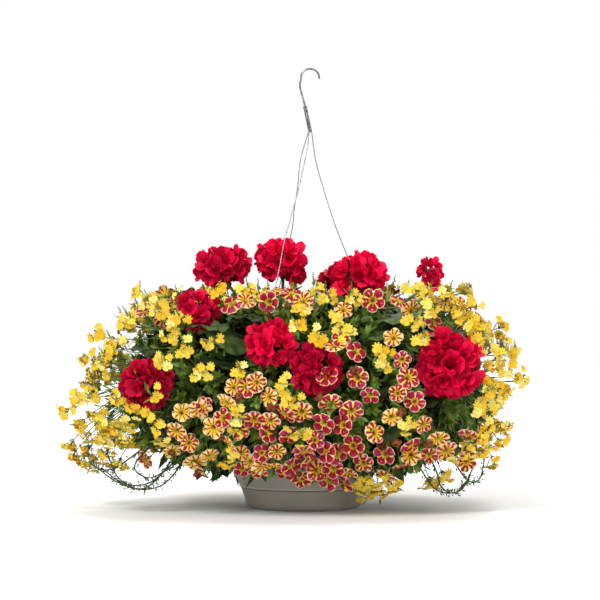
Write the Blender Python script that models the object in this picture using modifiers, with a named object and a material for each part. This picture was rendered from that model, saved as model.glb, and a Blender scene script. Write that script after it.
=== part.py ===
"""Mixed flower hanging basket.

A taupe plastic pot with a rolled rim hangs on a hook with three thin wires. It is filled with soil, and
three kinds of plant grow out of it: geraniums with double red heads, calibrachoas that trail with small
striped trumpets, and nemesias with bunches of yellow florets on wiry stems. The origin is the middle of
the pot's base, +Z is up, and the front looks along -Y.

The flowers of the front are placed by where they are seen from 3 m in front of the basket, brought
forward to the surface of the mound. Every later piece keeps clear of those that already stand there.
"""

import math
import random

import bmesh
import bpy
import numpy as np
from mathutils import Matrix, Vector
from mathutils.bvhtree import BVHTree

MM = 0.001

# Pot
POT_HEIGHT = 152 * MM
WALL = 2.0 * MM
FLOOR = 2.2 * MM
BASE_RADIUS = 66 * MM
FOOT_CORNER = 10.4 * MM
FOOT_TURNS = (0, 30, 60, 90)
STEP_HEIGHT = 28.5 * MM
STEP_DEPTH = 1.6 * MM
STEP_RADIUS = 83.5 * MM
UNDER_RIM_RADIUS = 123.5 * MM
RIM_RADIUS = 132 * MM
RIM_LIP = 8.5 * MM
POT_STEPS = 24
HOLE_SIDES = 5
DRAIN_RING_RADIUS = 48 * MM
DRAIN_RADIUS = 4 * MM
DRAIN_COUNT = 6

# Soil
SOIL_EDGE_HEIGHT = 136 * MM
SOIL_DOME = 5 * MM
GAP = 0.3 * MM
HOLE_BOTTOM = SOIL_EDGE_HEIGHT - 21 * MM

# Hanger
HOOK_WIRE = 1.3 * MM
HOOK_RADIUS = 11.8 * MM
HOOK_CENTRE = Vector((8.0, 0.0, 557.8)) * MM
HOOK_TURNS = (-8, 18, 44, 68, 92, 116, 140, 164, 186)
HOOK_BELLY = Vector((-5.3, 0.0, 547.0)) * MM
HOOK_WAIST = Vector((-1.6, 0.0, 532.0)) * MM
SHANK_END = Vector((8.2, 0.0, 487.0)) * MM
LEG_WIRE = 0.6 * MM
LEG_HOLE_RADIUS = 1.2 * MM
LEG_RING_RADIUS = 127.2 * MM
LEG_AZIMUTHS = {"right": 0.0, "back_left": 120.0, "front_left": 240.0}
LEG_FOOT = 7 * MM
WRAP_TURNS = 1.5
WRAP_STEPS = 10
WRAP_TOP = Vector((1.0, 0.0, 522.0)) * MM
WRAP_START = 1 * MM
WRAP_PITCH = 21 * MM
WRAP_RADIUS = 2.5 * MM

# The legs' ways from the shank to their rim holes: points in mm
LEG_ROUTES = {
    "right": ((15, 0, 451), (24, 0, 418), (34, 0, 386), (45.5, 0, 353), (86, 0, 254)),
    "back_left": ((-4.5, 12, 452), (-8, 22, 420), (-13, 33, 387), (-17, 44, 355), (-40, 77, 254)),
    "front_left": ((4.5, -7, 467), (-5.2, -22, 420), (-14.5, -33, 384), (-25, -46, 345), (-34, -61, 297)),
}

# The mound of flowers, an ellipsoid round the pot's axis
MOUND_SIDE = 325 * MM
MOUND_FRONT = 232 * MM
MOUND_MIDDLE = 150 * MM
MOUND_UP = 188 * MM
MOUND_DOWN = 132 * MM
FRONT_EDGE = -95 * MM
BACK_WANDER = 9
LOW_FLARE = 0.75

# Where the front is seen from, and the pixel that the eye looks at
VIEW_DISTANCE = 3.0
EYE = Vector((-5.2 * MM, -VIEW_DISTANCE, 269 * MM))
EYE_PX = 300
PX = 1.3 * MM

# Places of the striped trumpets, as pixels of the front view
STRIPED_PX = (
    (182, 412), (226, 404), (213, 428), (189, 443), (229, 445), (210, 457), (195, 463), (204, 406),
    (172, 452), (200, 474), (234, 387), (256, 382), (268, 397), (254, 421), (270, 422), (277, 452),
    (250, 463), (263, 466), (292, 467), (310, 462), (326, 453), (302, 413), (323, 424), (331, 405),
    (342, 425), (311, 481), (333, 470), (357, 378), (370, 396), (397, 393), (415, 401), (376, 432),
    (353, 446), (385, 477), (402, 468), (429, 456), (467, 462), (412, 447), (347, 474), (363, 464),
    (438, 440), (467, 436), (402, 360), (409, 377), (373, 300), (399, 300), (344, 309), (393, 337),
    (341, 339), (357, 351), (246, 300), (231, 303), (268, 302), (292, 293), (335, 345),
)

# Places of the yellow bunches, as pixels of the front view
YELLOW_PX = (
    (147, 300), (177, 300), (129, 320), (97, 332), (114, 343), (87, 357), (107, 360), (76, 400), (63, 412),
    (98, 415), (85, 437), (111, 445), (73, 457), (100, 462), (168, 337), (185, 347), (212, 341), (162, 362),
    (137, 377), (152, 396), (203, 373), (135, 410), (155, 424), (161, 439), (224, 462), (218, 287),
    (248, 292), (313, 288), (325, 297), (302, 307), (298, 324), (317, 332), (335, 322), (242, 374),
    (285, 384), (291, 399), (238, 413), (236, 429), (302, 437), (350, 297), (347, 332), (407, 287),
    (416, 322), (421, 337), (383, 350), (386, 366), (424, 289), (432, 306), (448, 295), (458, 311),
    (473, 303), (481, 323), (479, 343), (494, 365), (514, 349), (525, 378), (507, 391), (483, 408),
    (497, 403), (490, 427), (501, 445), (405, 425), (455, 457), (494, 463), (430, 484), (443, 478),
    (356, 488), (375, 492), (391, 489),
)

# The red heads: middle as a pixel of the front view, depth behind the pot's axis, width and height
FRONT_HEADS = (
    (221, 267, -42, 70, 54), (281, 261, -8, 76, 54), (197, 309, -128, 56, 46), (269, 345, -186, 64, 62),
    (316, 367, -196, 70, 64), (148, 384, -152, 68, 62), (360, 275, -84, 74, 50), (430, 275, -46, 34, 54),
    (449, 366, -150, 90, 88),
)

# The red heads of the back: place of the middle, width and height
BACK_HEADS = (
    (-150, 118, 248, 70, 56), (-62, 178, 190, 66, 60), (58, 112, 292, 72, 54), (150, 146, 218, 68, 60),
    (28, 196, 128, 64, 58),
)

# Bare wiry stems that loop out low at the sides: points in mm
LOOPS = {
    "left_outer": ((-150, -70, 125), (-186, -80, 92), (-214, -88, 60), (-196, -80, 44), (-166, -74, 58)),
    "left_long": ((-150, -50, 130), (-206, -66, 80), (-246, -70, 54), (-272, -62, 62), (-276, -52, 90)),
    "left_low": ((-130, -95, 100), (-163, -98, 66), (-195, -98, 39), (-232, -92, 38), (-266, -80, 60)),
    "right_low": ((120, -95, 110), (160, -106, 66), (172, -104, 35), (190, -100, 27), (209, -92, 46)),
    "right_long": ((130, -70, 125), (180, -78, 76), (206, -80, 42), (222, -76, 42), (230, -68, 70)),
}

# Chance and clearance
SEED = 9
CLEARANCE = 0.55 * MM
ROUND_ROOM = 1.09
TWIST_ROOM = 0.2 * MM
WALL_ROOM = 1.5 * MM
FLOOR_ROOM = 4 * MM

# Stems: a way that is taken is bent or thinned by the first of these that leaves it clear
STEPS_ASIDE = ((0, 0, -1), (1, 0, 0), (-1, 0, 0), (0, 0, 1), (0, 1, 0), (0, -1, 0))
BENDS = [Vector((0, 0, 0))] + [
    Vector(step) * size * MM
    for size in (10, 20, 32)
    for step in STEPS_ASIDE + ((0.6, 0.6, 0.4), (-0.6, 0.6, 0.4))
]
NUDGES = [Vector((0, 0, 0))] + [Vector(step) * size * MM for size in (5, 10, 15) for step in STEPS_ASIDE]
SHARES = (1.0, 0.7, 0.45, 0.2, 0.0)
THIN_STEM = 0.9 * MM
CROWN_RADIUS = 2.4 * MM
CROWN_HOLE_RADIUS = 3.7 * MM
CROWN_HOLE_REACH = 20 * MM

# Geraniums: crowns, heads on necks, and round leaves as angle from the crown, distance, height, size
GERANIUM_CROWN_RADIUS = 30 * MM
GERANIUM_AZIMUTHS = (90.0, 210.0, 330.0)
GERANIUM_STALK = 2.0 * MM
STALK_LIFTS = (26 * MM, 60 * MM, 0.0)
LEAF_STALK = 1.4 * MM
LEAF_OVERLAP = 8 * MM
NECK_LENGTH = 7 * MM
NECK_RADIUS = 2.6 * MM
NECK_APPROACH = 12 * MM
NECK_AIM_HEIGHT = 10 * MM
HEAD_CORE = 0.54
SMALL_HEAD = 25 * MM
PETALS_PER_FLORET = (3, 2, 2, 2)
INNER_LEAVES = ((-32, 34, 250, 62), (30, 62, 238, 66))
OUTER_LEAVES = ((-48, 100, 232, 64), (0, 112, 222, 66), (44, 138, 206, 62))

# Calibrachoas: stout leafy stems as rise in degrees over the mound's middle and radius
CALIBRACHOA_CROWN_RADIUS = 92 * MM
BUSHES_ROUND = 10
STEMS_PER_BUSH = 2
FOLIAGE_SIDE = 208 * MM
FOLIAGE_FRONT = 180 * MM
FOLIAGE_UP = 128 * MM
FOLIAGE_DOWN = 92 * MM
LEAFLESS_HEIGHT = 25 * MM
SHOULDER_RADIUS = 108 * MM
SHOULDER_HEIGHT = 190 * MM
SHOULDER_SPREAD = 0.6
SHOULDER_STEM = 7 * MM
STEM_JITTER = 3
STEM_RADII = ((48, 8 * MM), (16, 11 * MM), (-20, 10 * MM), (-52, 4 * MM))
LEAF_SPACING = 38 * MM
LEAF_SPACING_IN_BLOOM = 64 * MM
IN_BLOOM = 5
LEAF_SUNK = 3 * MM
LEAF_LENGTH = 48 * MM
LEAF_WIDTH = 23 * MM
LEAF_TURNS = ((0.8, 0.7, 0.3), (0.5, 1.0, 0.2), (1.0, 0.3, 0.5), (0.4, 0.9, -0.6), (-0.6, 0.9, 0.3))
TRUMPET_SIZE = 34 * MM
TRUMPET_DEPTH = 14 * MM
TRUMPET_REACH = 66 * MM
TRUMPETS_BEHIND = 0.5

# Joining: how often, how far solids move, how short an edge is drawn together, the least face
JOIN_ATTEMPTS = 6
JOIN_SHIFT = 0.02 * MM
WELDS = (0.2 * MM, 0.05 * MM, 0.001 * MM)
LEAST_FACE = 1e-12

# Nemesias
NEMESIA_CROWN_RADIUS = 66 * MM
NEMESIA_BUSHES = 9
NEMESIA_STEM = 1.0 * MM
BUNCHES_BEHIND = 0.3
BUNCHES_ON_A_STEM = 6
SECTOR_REACH = 40
ARCH_RADIUS = 96 * MM
ARCH_UNDER = 10 * MM
ARCH_LOW = 195 * MM
ARCH_HIGH = 240 * MM
OVER_HEIGHT = 190 * MM
OUTER_ARCH_RADIUS = 165 * MM
OUTER_ARCH_HEIGHT = 205 * MM
LOOP_ARCH_RADIUS = 110 * MM
LOOP_ARCH_HEIGHT = 192 * MM
FLORET_SIZE = 24 * MM
FLORET_DEPTH = 7 * MM
NARROW_SPACING = 190 * MM
NARROW_LENGTH = 26 * MM
NARROW_WIDTH = 7 * MM


def radians_of(azimuth):
    """A direction in the ground plane as x and y."""
    return math.cos(math.radians(azimuth)), math.sin(math.radians(azimuth))


def polar(radius, azimuth, height):
    """A point from its distance to the pot's axis, its azimuth in degrees and its height."""
    x, y = radians_of(azimuth)
    return Vector((radius * x, radius * y, height))


def azimuth_of(point):
    """The direction of a point from the pot's axis, 0 to 360 degrees."""
    return math.degrees(math.atan2(point[1], point[0])) % 360.0


# Scene and materials


def clear_scene():
    """Empty the file."""
    for item in list(bpy.data.objects):
        bpy.data.objects.remove(item)


def material(name, colour, roughness, metallic=0.0):
    """A plain finish."""
    finish = bpy.data.materials.new(name)
    finish.use_nodes = True
    shader = finish.node_tree.nodes["Principled BSDF"]
    shader.inputs["Base Color"].default_value = (*colour, 1.0)
    shader.inputs["Roughness"].default_value = roughness
    shader.inputs["Metallic"].default_value = metallic
    return finish


def collection(name):
    """A collection in the scene."""
    group = bpy.data.collections.new(name)
    bpy.context.scene.collection.children.link(group)
    return group


def put(name, mesh, group, finishes):
    """An object with its finishes, linked to a collection."""
    item = bpy.data.objects.new(name, mesh)
    mesh.materials.clear()
    for finish in finishes:
        mesh.materials.append(finish)
    group.objects.link(item)
    return item


# Loose solids: an array of corners, a list of faces and the number of their finish


class Solid:
    """One closed shape on its way to be joined with its neighbours."""

    def __init__(self, corners, faces, tint=0):
        self.corners = np.asarray(corners, dtype=float)
        self.faces = faces
        self.tint = tint

    def moved(self, matrix):
        """The shape turned and moved by a 4 x 4 matrix."""
        turn = np.array(matrix.to_3x3())
        return Solid(self.corners @ turn.T + np.array(matrix.translation), self.faces, self.tint)

    def shifted(self, by, rng):
        """The shape moved by up to a distance along each axis."""
        return Solid(self.corners + [rng.uniform(-by, by) for _ in range(3)], self.faces, self.tint)

    def swollen(self, by):
        """Corners moved out along the mean direction of the faces that meet there."""
        normals = np.zeros_like(self.corners)
        for face in self.faces:
            a, b, c = (self.corners[k] for k in face[:3])
            normal = np.cross(b - a, c - a)
            normals[list(face)] += normal / max(np.linalg.norm(normal), 1e-12)
        lengths = np.maximum(np.linalg.norm(normals, axis=1, keepdims=True), 1e-9)
        return self.corners + normals / lengths * by

    def mesh(self, name):
        """The shape as a Blender mesh."""
        data = bpy.data.meshes.new(name)
        data.from_pydata([tuple(c) for c in self.corners], [], self.faces)
        data.polygons.foreach_set("material_index", [self.tint] * len(data.polygons))
        return data


CONE_FACES = {}


def fan_solid(sides, rim, front, back, tint=0):
    """A cone with a fanned base, reshaped: the rim's points follow rim(turn), where turn runs once
    round from +Y, and the middle of the base, which looks along -Z, and the tip move to two points."""
    if sides not in CONE_FACES:
        shape = bmesh.new()
        bmesh.ops.create_cone(
            shape, cap_ends=True, cap_tris=True, segments=sides, radius1=1, radius2=0, depth=1
        )
        CONE_FACES[sides] = [tuple(v.index for v in face.verts) for face in shape.faces]
        shape.free()
    corners = [front] + [rim(math.tau * k / sides) for k in range(sides)] + [back]
    return Solid(corners, CONE_FACES[sides], tint)


def ball(radii, centre, tint=0):
    """A twenty-sided ball with three radii."""
    shape = bmesh.new()
    bmesh.ops.create_icosphere(shape, subdivisions=1, radius=1.0)
    corners = [tuple(v.co[k] * radii[k] + centre[k] for k in range(3)) for v in shape.verts]
    faces = [tuple(v.index for v in face.verts) for face in shape.faces]
    shape.free()
    return Solid(corners, faces, tint)


def tube_mesh(points, radii, rings=0):
    """A round bar along a line of points, as a mesh, with a radius at each point."""
    curve = bpy.data.curves.new("route", "CURVE")
    curve.dimensions = "3D"
    curve.bevel_depth = 1.0
    curve.bevel_resolution = rings
    curve.use_fill_caps = True
    spline = curve.splines.new("POLY")
    spline.points.add(len(points) - 1)
    for knot, point, radius in zip(spline.points, points, radii):
        knot.co = (*point, 1.0)
        knot.radius = radius
    route = bpy.data.objects.new("route", curve)
    bpy.context.scene.collection.objects.link(route)
    drawn = route.evaluated_get(bpy.context.evaluated_depsgraph_get())
    mesh = bpy.data.meshes.new_from_object(drawn)
    bpy.data.objects.remove(route)
    bpy.data.curves.remove(curve)
    shape = bmesh.new()
    shape.from_mesh(mesh)
    bmesh.ops.remove_doubles(shape, verts=shape.verts, dist=0.00001)
    bmesh.ops.recalc_face_normals(shape, faces=shape.faces)
    shape.to_mesh(mesh)
    shape.free()
    return mesh


def tube(points, radii, tint=0, rings=0):
    """The same bar as a loose solid."""
    mesh = tube_mesh(points, radii, rings)
    corners = [tuple(v.co) for v in mesh.vertices]
    solid = Solid(corners, [tuple(f.vertices) for f in mesh.polygons], tint)
    bpy.data.meshes.remove(mesh)
    return solid


def facing(normal, spin, place):
    """A placement that turns -Z to a direction, with a spin about it."""
    turn = Vector(normal).normalized().to_track_quat("-Z", "Y").to_matrix().to_4x4()
    return Matrix.Translation(place) @ turn @ Matrix.Rotation(spin, 4, "Z")


def blade_placement(root, along, up):
    """A placement that turns +Y to the blade's length and -Z to its upper side."""
    length = Vector(along).normalized()
    upper = (Vector(up) - length * Vector(up).dot(length)).normalized()
    side = length.cross(-upper)
    turn = Matrix((side, length, -upper)).transposed().to_4x4()
    return Matrix.Translation(root) @ turn


# Keeping clear of what already stands


class Space:
    """What stands in the basket so far, as slightly swollen shapes, each with its owner and kind."""

    def __init__(self):
        self.trees = []
        self.owners = []
        self.kinds = []
        self.low = np.zeros((0, 3))
        self.high = np.zeros((0, 3))
        self.cores = []

    def add(self, solid, owner, kind):
        """Take up the room of a solid."""
        corners = solid.swollen(CLEARANCE)
        self.trees.append(BVHTree.FromPolygons([tuple(c) for c in corners], solid.faces))
        self.owners.append(owner)
        self.kinds.append(kind)
        self.low = np.vstack((self.low, corners.min(axis=0)))
        self.high = np.vstack((self.high, corners.max(axis=0)))

    def near(self, low, high):
        """Numbers of the shapes whose boxes meet a box."""
        meets = np.all((self.low <= high) & (self.high >= low), axis=1)
        return np.nonzero(meets)[0]

    def free(self, solid, owner, ignore=(), shifts=((0, 0, 0),), rooted=False, beside=None):
        """Whether a solid meets nothing of another owner, nor of its own that isn't ignored.
        A rooted one may stand in the soil, and one beside a head may stand close to its neck."""
        low = solid.corners.min(axis=0) - CLEARANCE
        high = solid.corners.max(axis=0) + CLEARANCE
        middle = solid.corners.mean(axis=0)
        for core, reach, core_owner in self.cores:
            if core_owner != owner and np.linalg.norm(middle - core) < reach:
                return False
        if not rooted and in_pot(solid.corners):
            return False
        others = [
            k
            for k in self.near(low, high)
            if not (self.owners[k] == owner and self.kinds[k] in ignore)
            and not (self.owners[k] == beside and self.kinds[k] == "core")
        ]
        if not others:
            return True
        for shift in shifts:
            corners = [tuple(c) for c in solid.corners + np.array(shift)]
            tree = BVHTree.FromPolygons(corners, solid.faces)
            if any(tree.overlap(self.trees[k]) for k in others):
                return False
        return True


def in_pot(corners):
    """Whether any corner lies in the soil, in the pot's wall or under the floor."""
    radius = np.hypot(corners[:, 0], corners[:, 1])
    inside = (radius < UNDER_RIM_RADIUS) & (corners[:, 2] < SOIL_EDGE_HEIGHT + 2 * MM)
    outside = radius < pot_radius(corners[:, 2]) + WALL_ROOM
    low = corners[:, 2] < FLOOR_ROOM
    return bool(np.any((inside & outside) | low))


def pot_radius(height):
    """The pot's outer radius at a height, the rim's above the rim."""
    wall = np.interp(
        height,
        (0, STEP_HEIGHT, POT_HEIGHT - RIM_LIP, POT_HEIGHT - RIM_LIP + 0.01 * MM, POT_HEIGHT),
        (BASE_RADIUS + FOOT_CORNER, STEP_RADIUS, UNDER_RIM_RADIUS, RIM_RADIUS, RIM_RADIUS),
        right=0.0,
    )
    return wall


# Pot, soil and hanger


def turned(name, profile, steps, group, finish):
    """A solid turned round Z from a profile of radius and height, outer side top to bottom."""
    mesh = bpy.data.meshes.new(name)
    links = [(k, k + 1) for k in range(len(profile) - 1)]
    mesh.from_pydata([(radius, 0.0, height) for radius, height in profile], links, [])
    item = put(name, mesh, group, (finish,))
    screw = item.modifiers.new("turn", "SCREW")
    screw.axis = "Z"
    screw.steps = steps
    screw.render_steps = steps
    screw.use_merge_vertices = True
    screw.merge_threshold = 0.00001
    return item


def wall_radius(height):
    """The outer radius of the slope above the step ring."""
    share = (height - STEP_HEIGHT) / (POT_HEIGHT - WALL - STEP_HEIGHT)
    return STEP_RADIUS + (UNDER_RIM_RADIUS - STEP_RADIUS) * share


def pot_profile():
    """Up the inside from the middle of the floor, over the rolled rim and down the outside."""
    top = POT_HEIGHT
    foot = [
        (BASE_RADIUS + FOOT_CORNER * math.cos(turn), FOOT_CORNER * (1 - math.sin(turn)))
        for turn in map(math.radians, FOOT_TURNS)
    ]
    lip_bottom = POT_HEIGHT - RIM_LIP
    inner = [
        (0.0, FLOOR), (BASE_RADIUS - 3 * MM, FLOOR),
        (BASE_RADIUS + FOOT_CORNER - WALL, FOOT_CORNER + 2 * MM),
        (STEP_RADIUS - WALL, STEP_HEIGHT + 2.5 * MM),
        (UNDER_RIM_RADIUS - WALL, top - WALL), (UNDER_RIM_RADIUS - 0.6 * MM, top),
    ]
    outer = [
        (RIM_RADIUS - 1 * MM, top), (RIM_RADIUS, top - 1.4 * MM), (RIM_RADIUS, lip_bottom),
        (RIM_RADIUS - WALL, lip_bottom), (RIM_RADIUS - WALL - 0.2 * MM, top - WALL),
        (UNDER_RIM_RADIUS, top - WALL - 0.2 * MM),
        (STEP_RADIUS, STEP_HEIGHT), (STEP_RADIUS - STEP_DEPTH, STEP_HEIGHT - 0.9 * MM),
    ]
    return inner + outer + foot + [(0.0, 0.0)]


def pot_shell():
    """The pot's surface as one loose solid, for keeping the plants clear of it."""
    profile = pot_profile()[1:-1]
    corners = [
        polar(radius, 360.0 * step / POT_STEPS, height)
        for step in range(POT_STEPS)
        for radius, height in profile
    ]
    row = len(profile)
    faces = []
    for step in range(POT_STEPS):
        here = step * row
        there = (step + 1) % POT_STEPS * row
        faces += [(here + k, there + k, there + k + 1, here + k + 1) for k in range(row - 1)]
    return Solid(corners, faces)


def cylinder_cutter(radius, place, height, group):
    """A round cutter that stands upright with its middle at a place."""
    shape = bmesh.new()
    bmesh.ops.create_cone(
        shape, cap_ends=True, segments=HOLE_SIDES, radius1=radius, radius2=radius, depth=height,
        matrix=Matrix.Translation(place),
    )
    mesh = bpy.data.meshes.new("cutter")
    shape.to_mesh(mesh)
    shape.free()
    item = bpy.data.objects.new("cutter", mesh)
    item.hide_render = True
    item.display_type = "WIRE"
    group.objects.link(item)
    return item


def cut_by(item, group):
    """Cut every solid of a collection out of an object."""
    cut = item.modifiers.new("cut", "BOOLEAN")
    cut.operation = "DIFFERENCE"
    cut.solver = "EXACT"
    cut.operand_type = "COLLECTION"
    cut.collection = group


def make_pot(group, cutters, finish):
    """The pot with its drain holes and three wire holes."""
    item = turned("pot", pot_profile(), POT_STEPS, group, finish)
    for k in range(DRAIN_COUNT):
        place = polar(DRAIN_RING_RADIUS, 360.0 * (k + 0.5) / DRAIN_COUNT, 0.0)
        cylinder_cutter(DRAIN_RADIUS, place, 6 * WALL, cutters)
    for azimuth in LEG_AZIMUTHS.values():
        place = polar(LEG_RING_RADIUS, azimuth, POT_HEIGHT)
        cylinder_cutter(LEG_HOLE_RADIUS, place, 3 * WALL, cutters)
    cut_by(item, cutters)


def make_soil(group, cutters, crowns, finish):
    """The soil, a hair smaller than the pot's inside, with a plain hole for every crown."""
    floor = FLOOR + GAP
    clear = WALL + 1.3 * GAP
    edge = SOIL_EDGE_HEIGHT
    profile = [
        (0.0, edge + SOIL_DOME),
        (wall_radius(edge) - clear - 0.4 * MM, edge),
        (STEP_RADIUS - clear, STEP_HEIGHT + 2.7 * MM),
        (BASE_RADIUS + FOOT_CORNER - clear - 0.3 * MM, FOOT_CORNER + 2.4 * MM),
        (BASE_RADIUS - 3.2 * MM, floor), (0.0, floor),
    ]
    item = turned("potting_soil", profile, POT_STEPS, group, finish)
    for crown in crowns:
        place = Vector((crown.x, crown.y, HOLE_BOTTOM + CROWN_HOLE_REACH))
        cylinder_cutter(CROWN_HOLE_RADIUS, place, 2 * CROWN_HOLE_REACH, cutters)
    cut_by(item, cutters)


def smooth(points, pieces):
    """Points of a Catmull-Rom curve through a list of points, a few to each stretch."""
    knots = [2 * points[0] - points[1], *points, 2 * points[-1] - points[-2]]
    line = []
    for k in range(1, len(knots) - 2):
        a, b, c, d = knots[k - 1 : k + 3]
        for step in range(pieces):
            t = step / pieces
            bend = (2 * a - 5 * b + 4 * c - d) * t * t + (3 * b - a - 3 * c + d) * t ** 3
            line.append((2 * b + (c - a) * t + bend) / 2)
    return line + [points[-1]]


def shank_line():
    """The hook's centre line: the tip, the round top, a slight belly and the leaning shank."""
    bend = [
        HOOK_CENTRE + HOOK_RADIUS * Vector((math.cos(math.radians(a)), 0.0, math.sin(math.radians(a))))
        for a in HOOK_TURNS
    ]
    return bend + [HOOK_BELLY, HOOK_WAIST, WRAP_TOP, SHANK_END]


def make_hook(group, finish):
    """The thick wire, bent to a hook at the top."""
    line = shank_line()
    mesh = tube_mesh(line, [HOOK_WIRE] * len(line), rings=2)
    mesh.shade_smooth()
    put("hanger_hook", mesh, group, (finish,))


def leg_line(name):
    """A leg's centre line: turns round the shank, down to its rim hole, and bent over under the rim."""
    azimuth = LEG_AZIMUTHS[name]
    axis = (SHANK_END - WRAP_TOP).normalized()
    side = axis.cross(Vector((0.0, 1.0, 0.0))).normalized()
    start = WRAP_TOP + axis * WRAP_START
    x, y = radians_of(azimuth)
    leave = math.atan2(y, x)
    wrap = []
    for k in range(WRAP_STEPS + 1):
        turns = WRAP_TURNS * k / WRAP_STEPS
        turn = leave - math.tau * (WRAP_TURNS - turns)
        out = side * math.cos(turn) + Vector((0.0, 1.0, 0.0)) * math.sin(turn)
        wrap.append(start + axis * WRAP_PITCH * turns + out * WRAP_RADIUS)
    hole = polar(LEG_RING_RADIUS, azimuth, POT_HEIGHT + 1 * MM)
    run = [Vector(place) * MM for place in LEG_ROUTES[name]]
    along = Vector((-y, x, 0.0))
    under = polar(LEG_RING_RADIUS, azimuth, POT_HEIGHT - 4.2 * MM)
    bent = under + along * 1.5 * MM - Vector((0, 0, 1.2 * MM))
    return wrap + run + [hole, under, bent, under + along * LEG_FOOT]


def make_legs(group, finish):
    """Three thin wires from the shank to the rim."""
    for name in LEG_AZIMUTHS:
        line = leg_line(name)
        mesh = tube_mesh(line, [LEG_WIRE] * len(line), rings=0)
        put("hanger_wire_" + name, mesh, group, (finish,))


# Flowers and leaves


def petal(length, width, cup, tint=1):
    """A broad fan-shaped petal, cupped: root at the origin, along +Y."""

    def rim(turn):
        y = 0.5 - 0.5 * math.cos(turn)
        x = -0.5 * math.sin(turn) * (0.62 + 0.5 * y)
        return (width * x, length * y, -0.35 * cup * math.sin(turn) ** 2)

    middle = 0.58 * length
    return fan_solid(5, rim, (0, middle, cup), (0, middle, cup + 1.6 * MM), tint)


def leaf(length, width, fold, tint=0):
    """A leaf with a point at each end, folded along its rib, that rises from its root and bends down
    at the tip."""
    arch = 0.22 * length
    middle = fold - arch * 0.2

    def rim(turn):
        y = 0.5 + 0.5 * math.cos(turn)
        return (0.5 * width * math.sin(turn), length * y, arch * ((y - 0.45) ** 2 - 0.2025))

    return fan_solid(4, rim, (0, 0.5 * length, middle), (0, 0.5 * length, middle + 1.4 * MM), tint)


def round_leaf(size, tint=0):
    """A geranium leaf: nearly round, scalloped, dished, with a notch at the stalk."""

    def rim(turn):
        reach = 0.5 * size * (1.0 + 0.07 * math.cos(5 * turn))
        notch = 0.72 if abs(turn - math.pi) < 0.1 else 1.0
        wave = 0.05 * size * math.sin(3 * turn)
        return (reach * math.sin(turn), 0.36 * size + reach * notch * math.cos(turn), wave)

    return fan_solid(10, rim, (0, 0.3 * size, 0.04 * size), (0, 0.3 * size, 0.04 * size + 2 * MM), tint)


def trumpet(size, tip, tint=1):
    """A calibrachoa bloom: five lobes round a sunk throat, and a funnel that narrows to its stalk."""

    def rim(turn):
        return (0.5 * size * math.sin(turn), 0.5 * size * math.cos(turn), 0.0)

    return fan_solid(5, rim, (0, 0, 0.2 * size), tip, tint)


def floret(size, tint=1):
    """A nemesia floret: three small upper lobes over a broad lip, with a short spur."""

    def rim(turn):
        reach = 0.5 * size * (1.0 + 0.12 * math.cos(turn))
        return (reach * math.sin(turn), reach * math.cos(turn), 0.06 * size * math.cos(2 * turn))

    return fan_solid(5, rim, (0, 0, 0.12 * size), (0, 0, FLORET_DEPTH), tint)


# The mound's surface


def on_mound(px, py, shell=1.0):
    """Where a pixel of the front view meets the mound, drawn in by a share of its depth."""
    flat = Vector(((px - EYE_PX) * PX, 0.0, (EYE_PX - py) * PX))
    x = flat.x + EYE.x
    z = flat.z + EYE.z
    if z > MOUND_MIDDLE:
        taken = ((z - MOUND_MIDDLE) / MOUND_UP) ** 2
    else:
        taken = LOW_FLARE * ((z - MOUND_MIDDLE) / MOUND_DOWN) ** 2
    left = 1.0 - (x / MOUND_SIDE) ** 2 - taken
    depth = MOUND_FRONT * shell * math.sqrt(max(left, 0.0))
    return brought_forward(px, py, -depth)


def brought_forward(px, py, y):
    """The point that lies at a depth on the line of sight through a pixel."""
    nearer = (VIEW_DISTANCE + y) / VIEW_DISTANCE
    return Vector((EYE.x + (px - EYE_PX) * PX * nearer, y, EYE.z + (EYE_PX - py) * PX * nearer))


def outwards(point):
    """The direction straight out of the mound's surface at a point."""
    rise = MOUND_UP if point.z > MOUND_MIDDLE else MOUND_DOWN
    out = Vector(
        (point.x / MOUND_SIDE ** 2, point.y / MOUND_FRONT ** 2, (point.z - MOUND_MIDDLE) / rise ** 2)
    )
    return out.normalized()


def both_sides(pixels, shell, keep_back, rng):
    """The front's places, and some of them again at the back, turned half round the pot."""
    front = [on_mound(px, py, shell) for px, py in pixels]
    back = []
    for point in front:
        if point.y < FRONT_EDGE and rng.random() < keep_back:
            wander = Vector([rng.uniform(-BACK_WANDER, BACK_WANDER) * MM for _ in range(3)])
            back.append(Vector((-point.x, -point.y, point.z)) + wander)
    return front + back


# Heads


class Head:
    """A red head: its middle, radii, the direction of its neck and its name."""

    def __init__(self, name, middle, width, height):
        self.name = name
        self.middle = middle
        self.radii = Vector((0.5 * width, 0.5 * width, 0.5 * height)) * MM
        root = polar(GERANIUM_CROWN_RADIUS, azimuth_of(middle), SOIL_EDGE_HEIGHT + NECK_AIM_HEIGHT)
        down = (root - middle).normalized() + Vector((0.0, 0.0, -0.5))
        self.neck = down.normalized()
        self.seat = middle + self.neck * (0.66 * self.radii.z + NECK_LENGTH)


def all_heads():
    """The heads of the front and of the back."""
    heads = []
    for number, (px, py, depth, width, height) in enumerate(FRONT_HEADS, 1):
        middle = brought_forward(px, py, depth * MM)
        heads.append(Head("geranium_head_front_%d" % number, middle, width, height))
    for number, (x, y, z, width, height) in enumerate(BACK_HEADS, 1):
        heads.append(Head("geranium_head_back_%d" % number, Vector((x, y, z)) * MM, width, height))
    return heads


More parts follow.
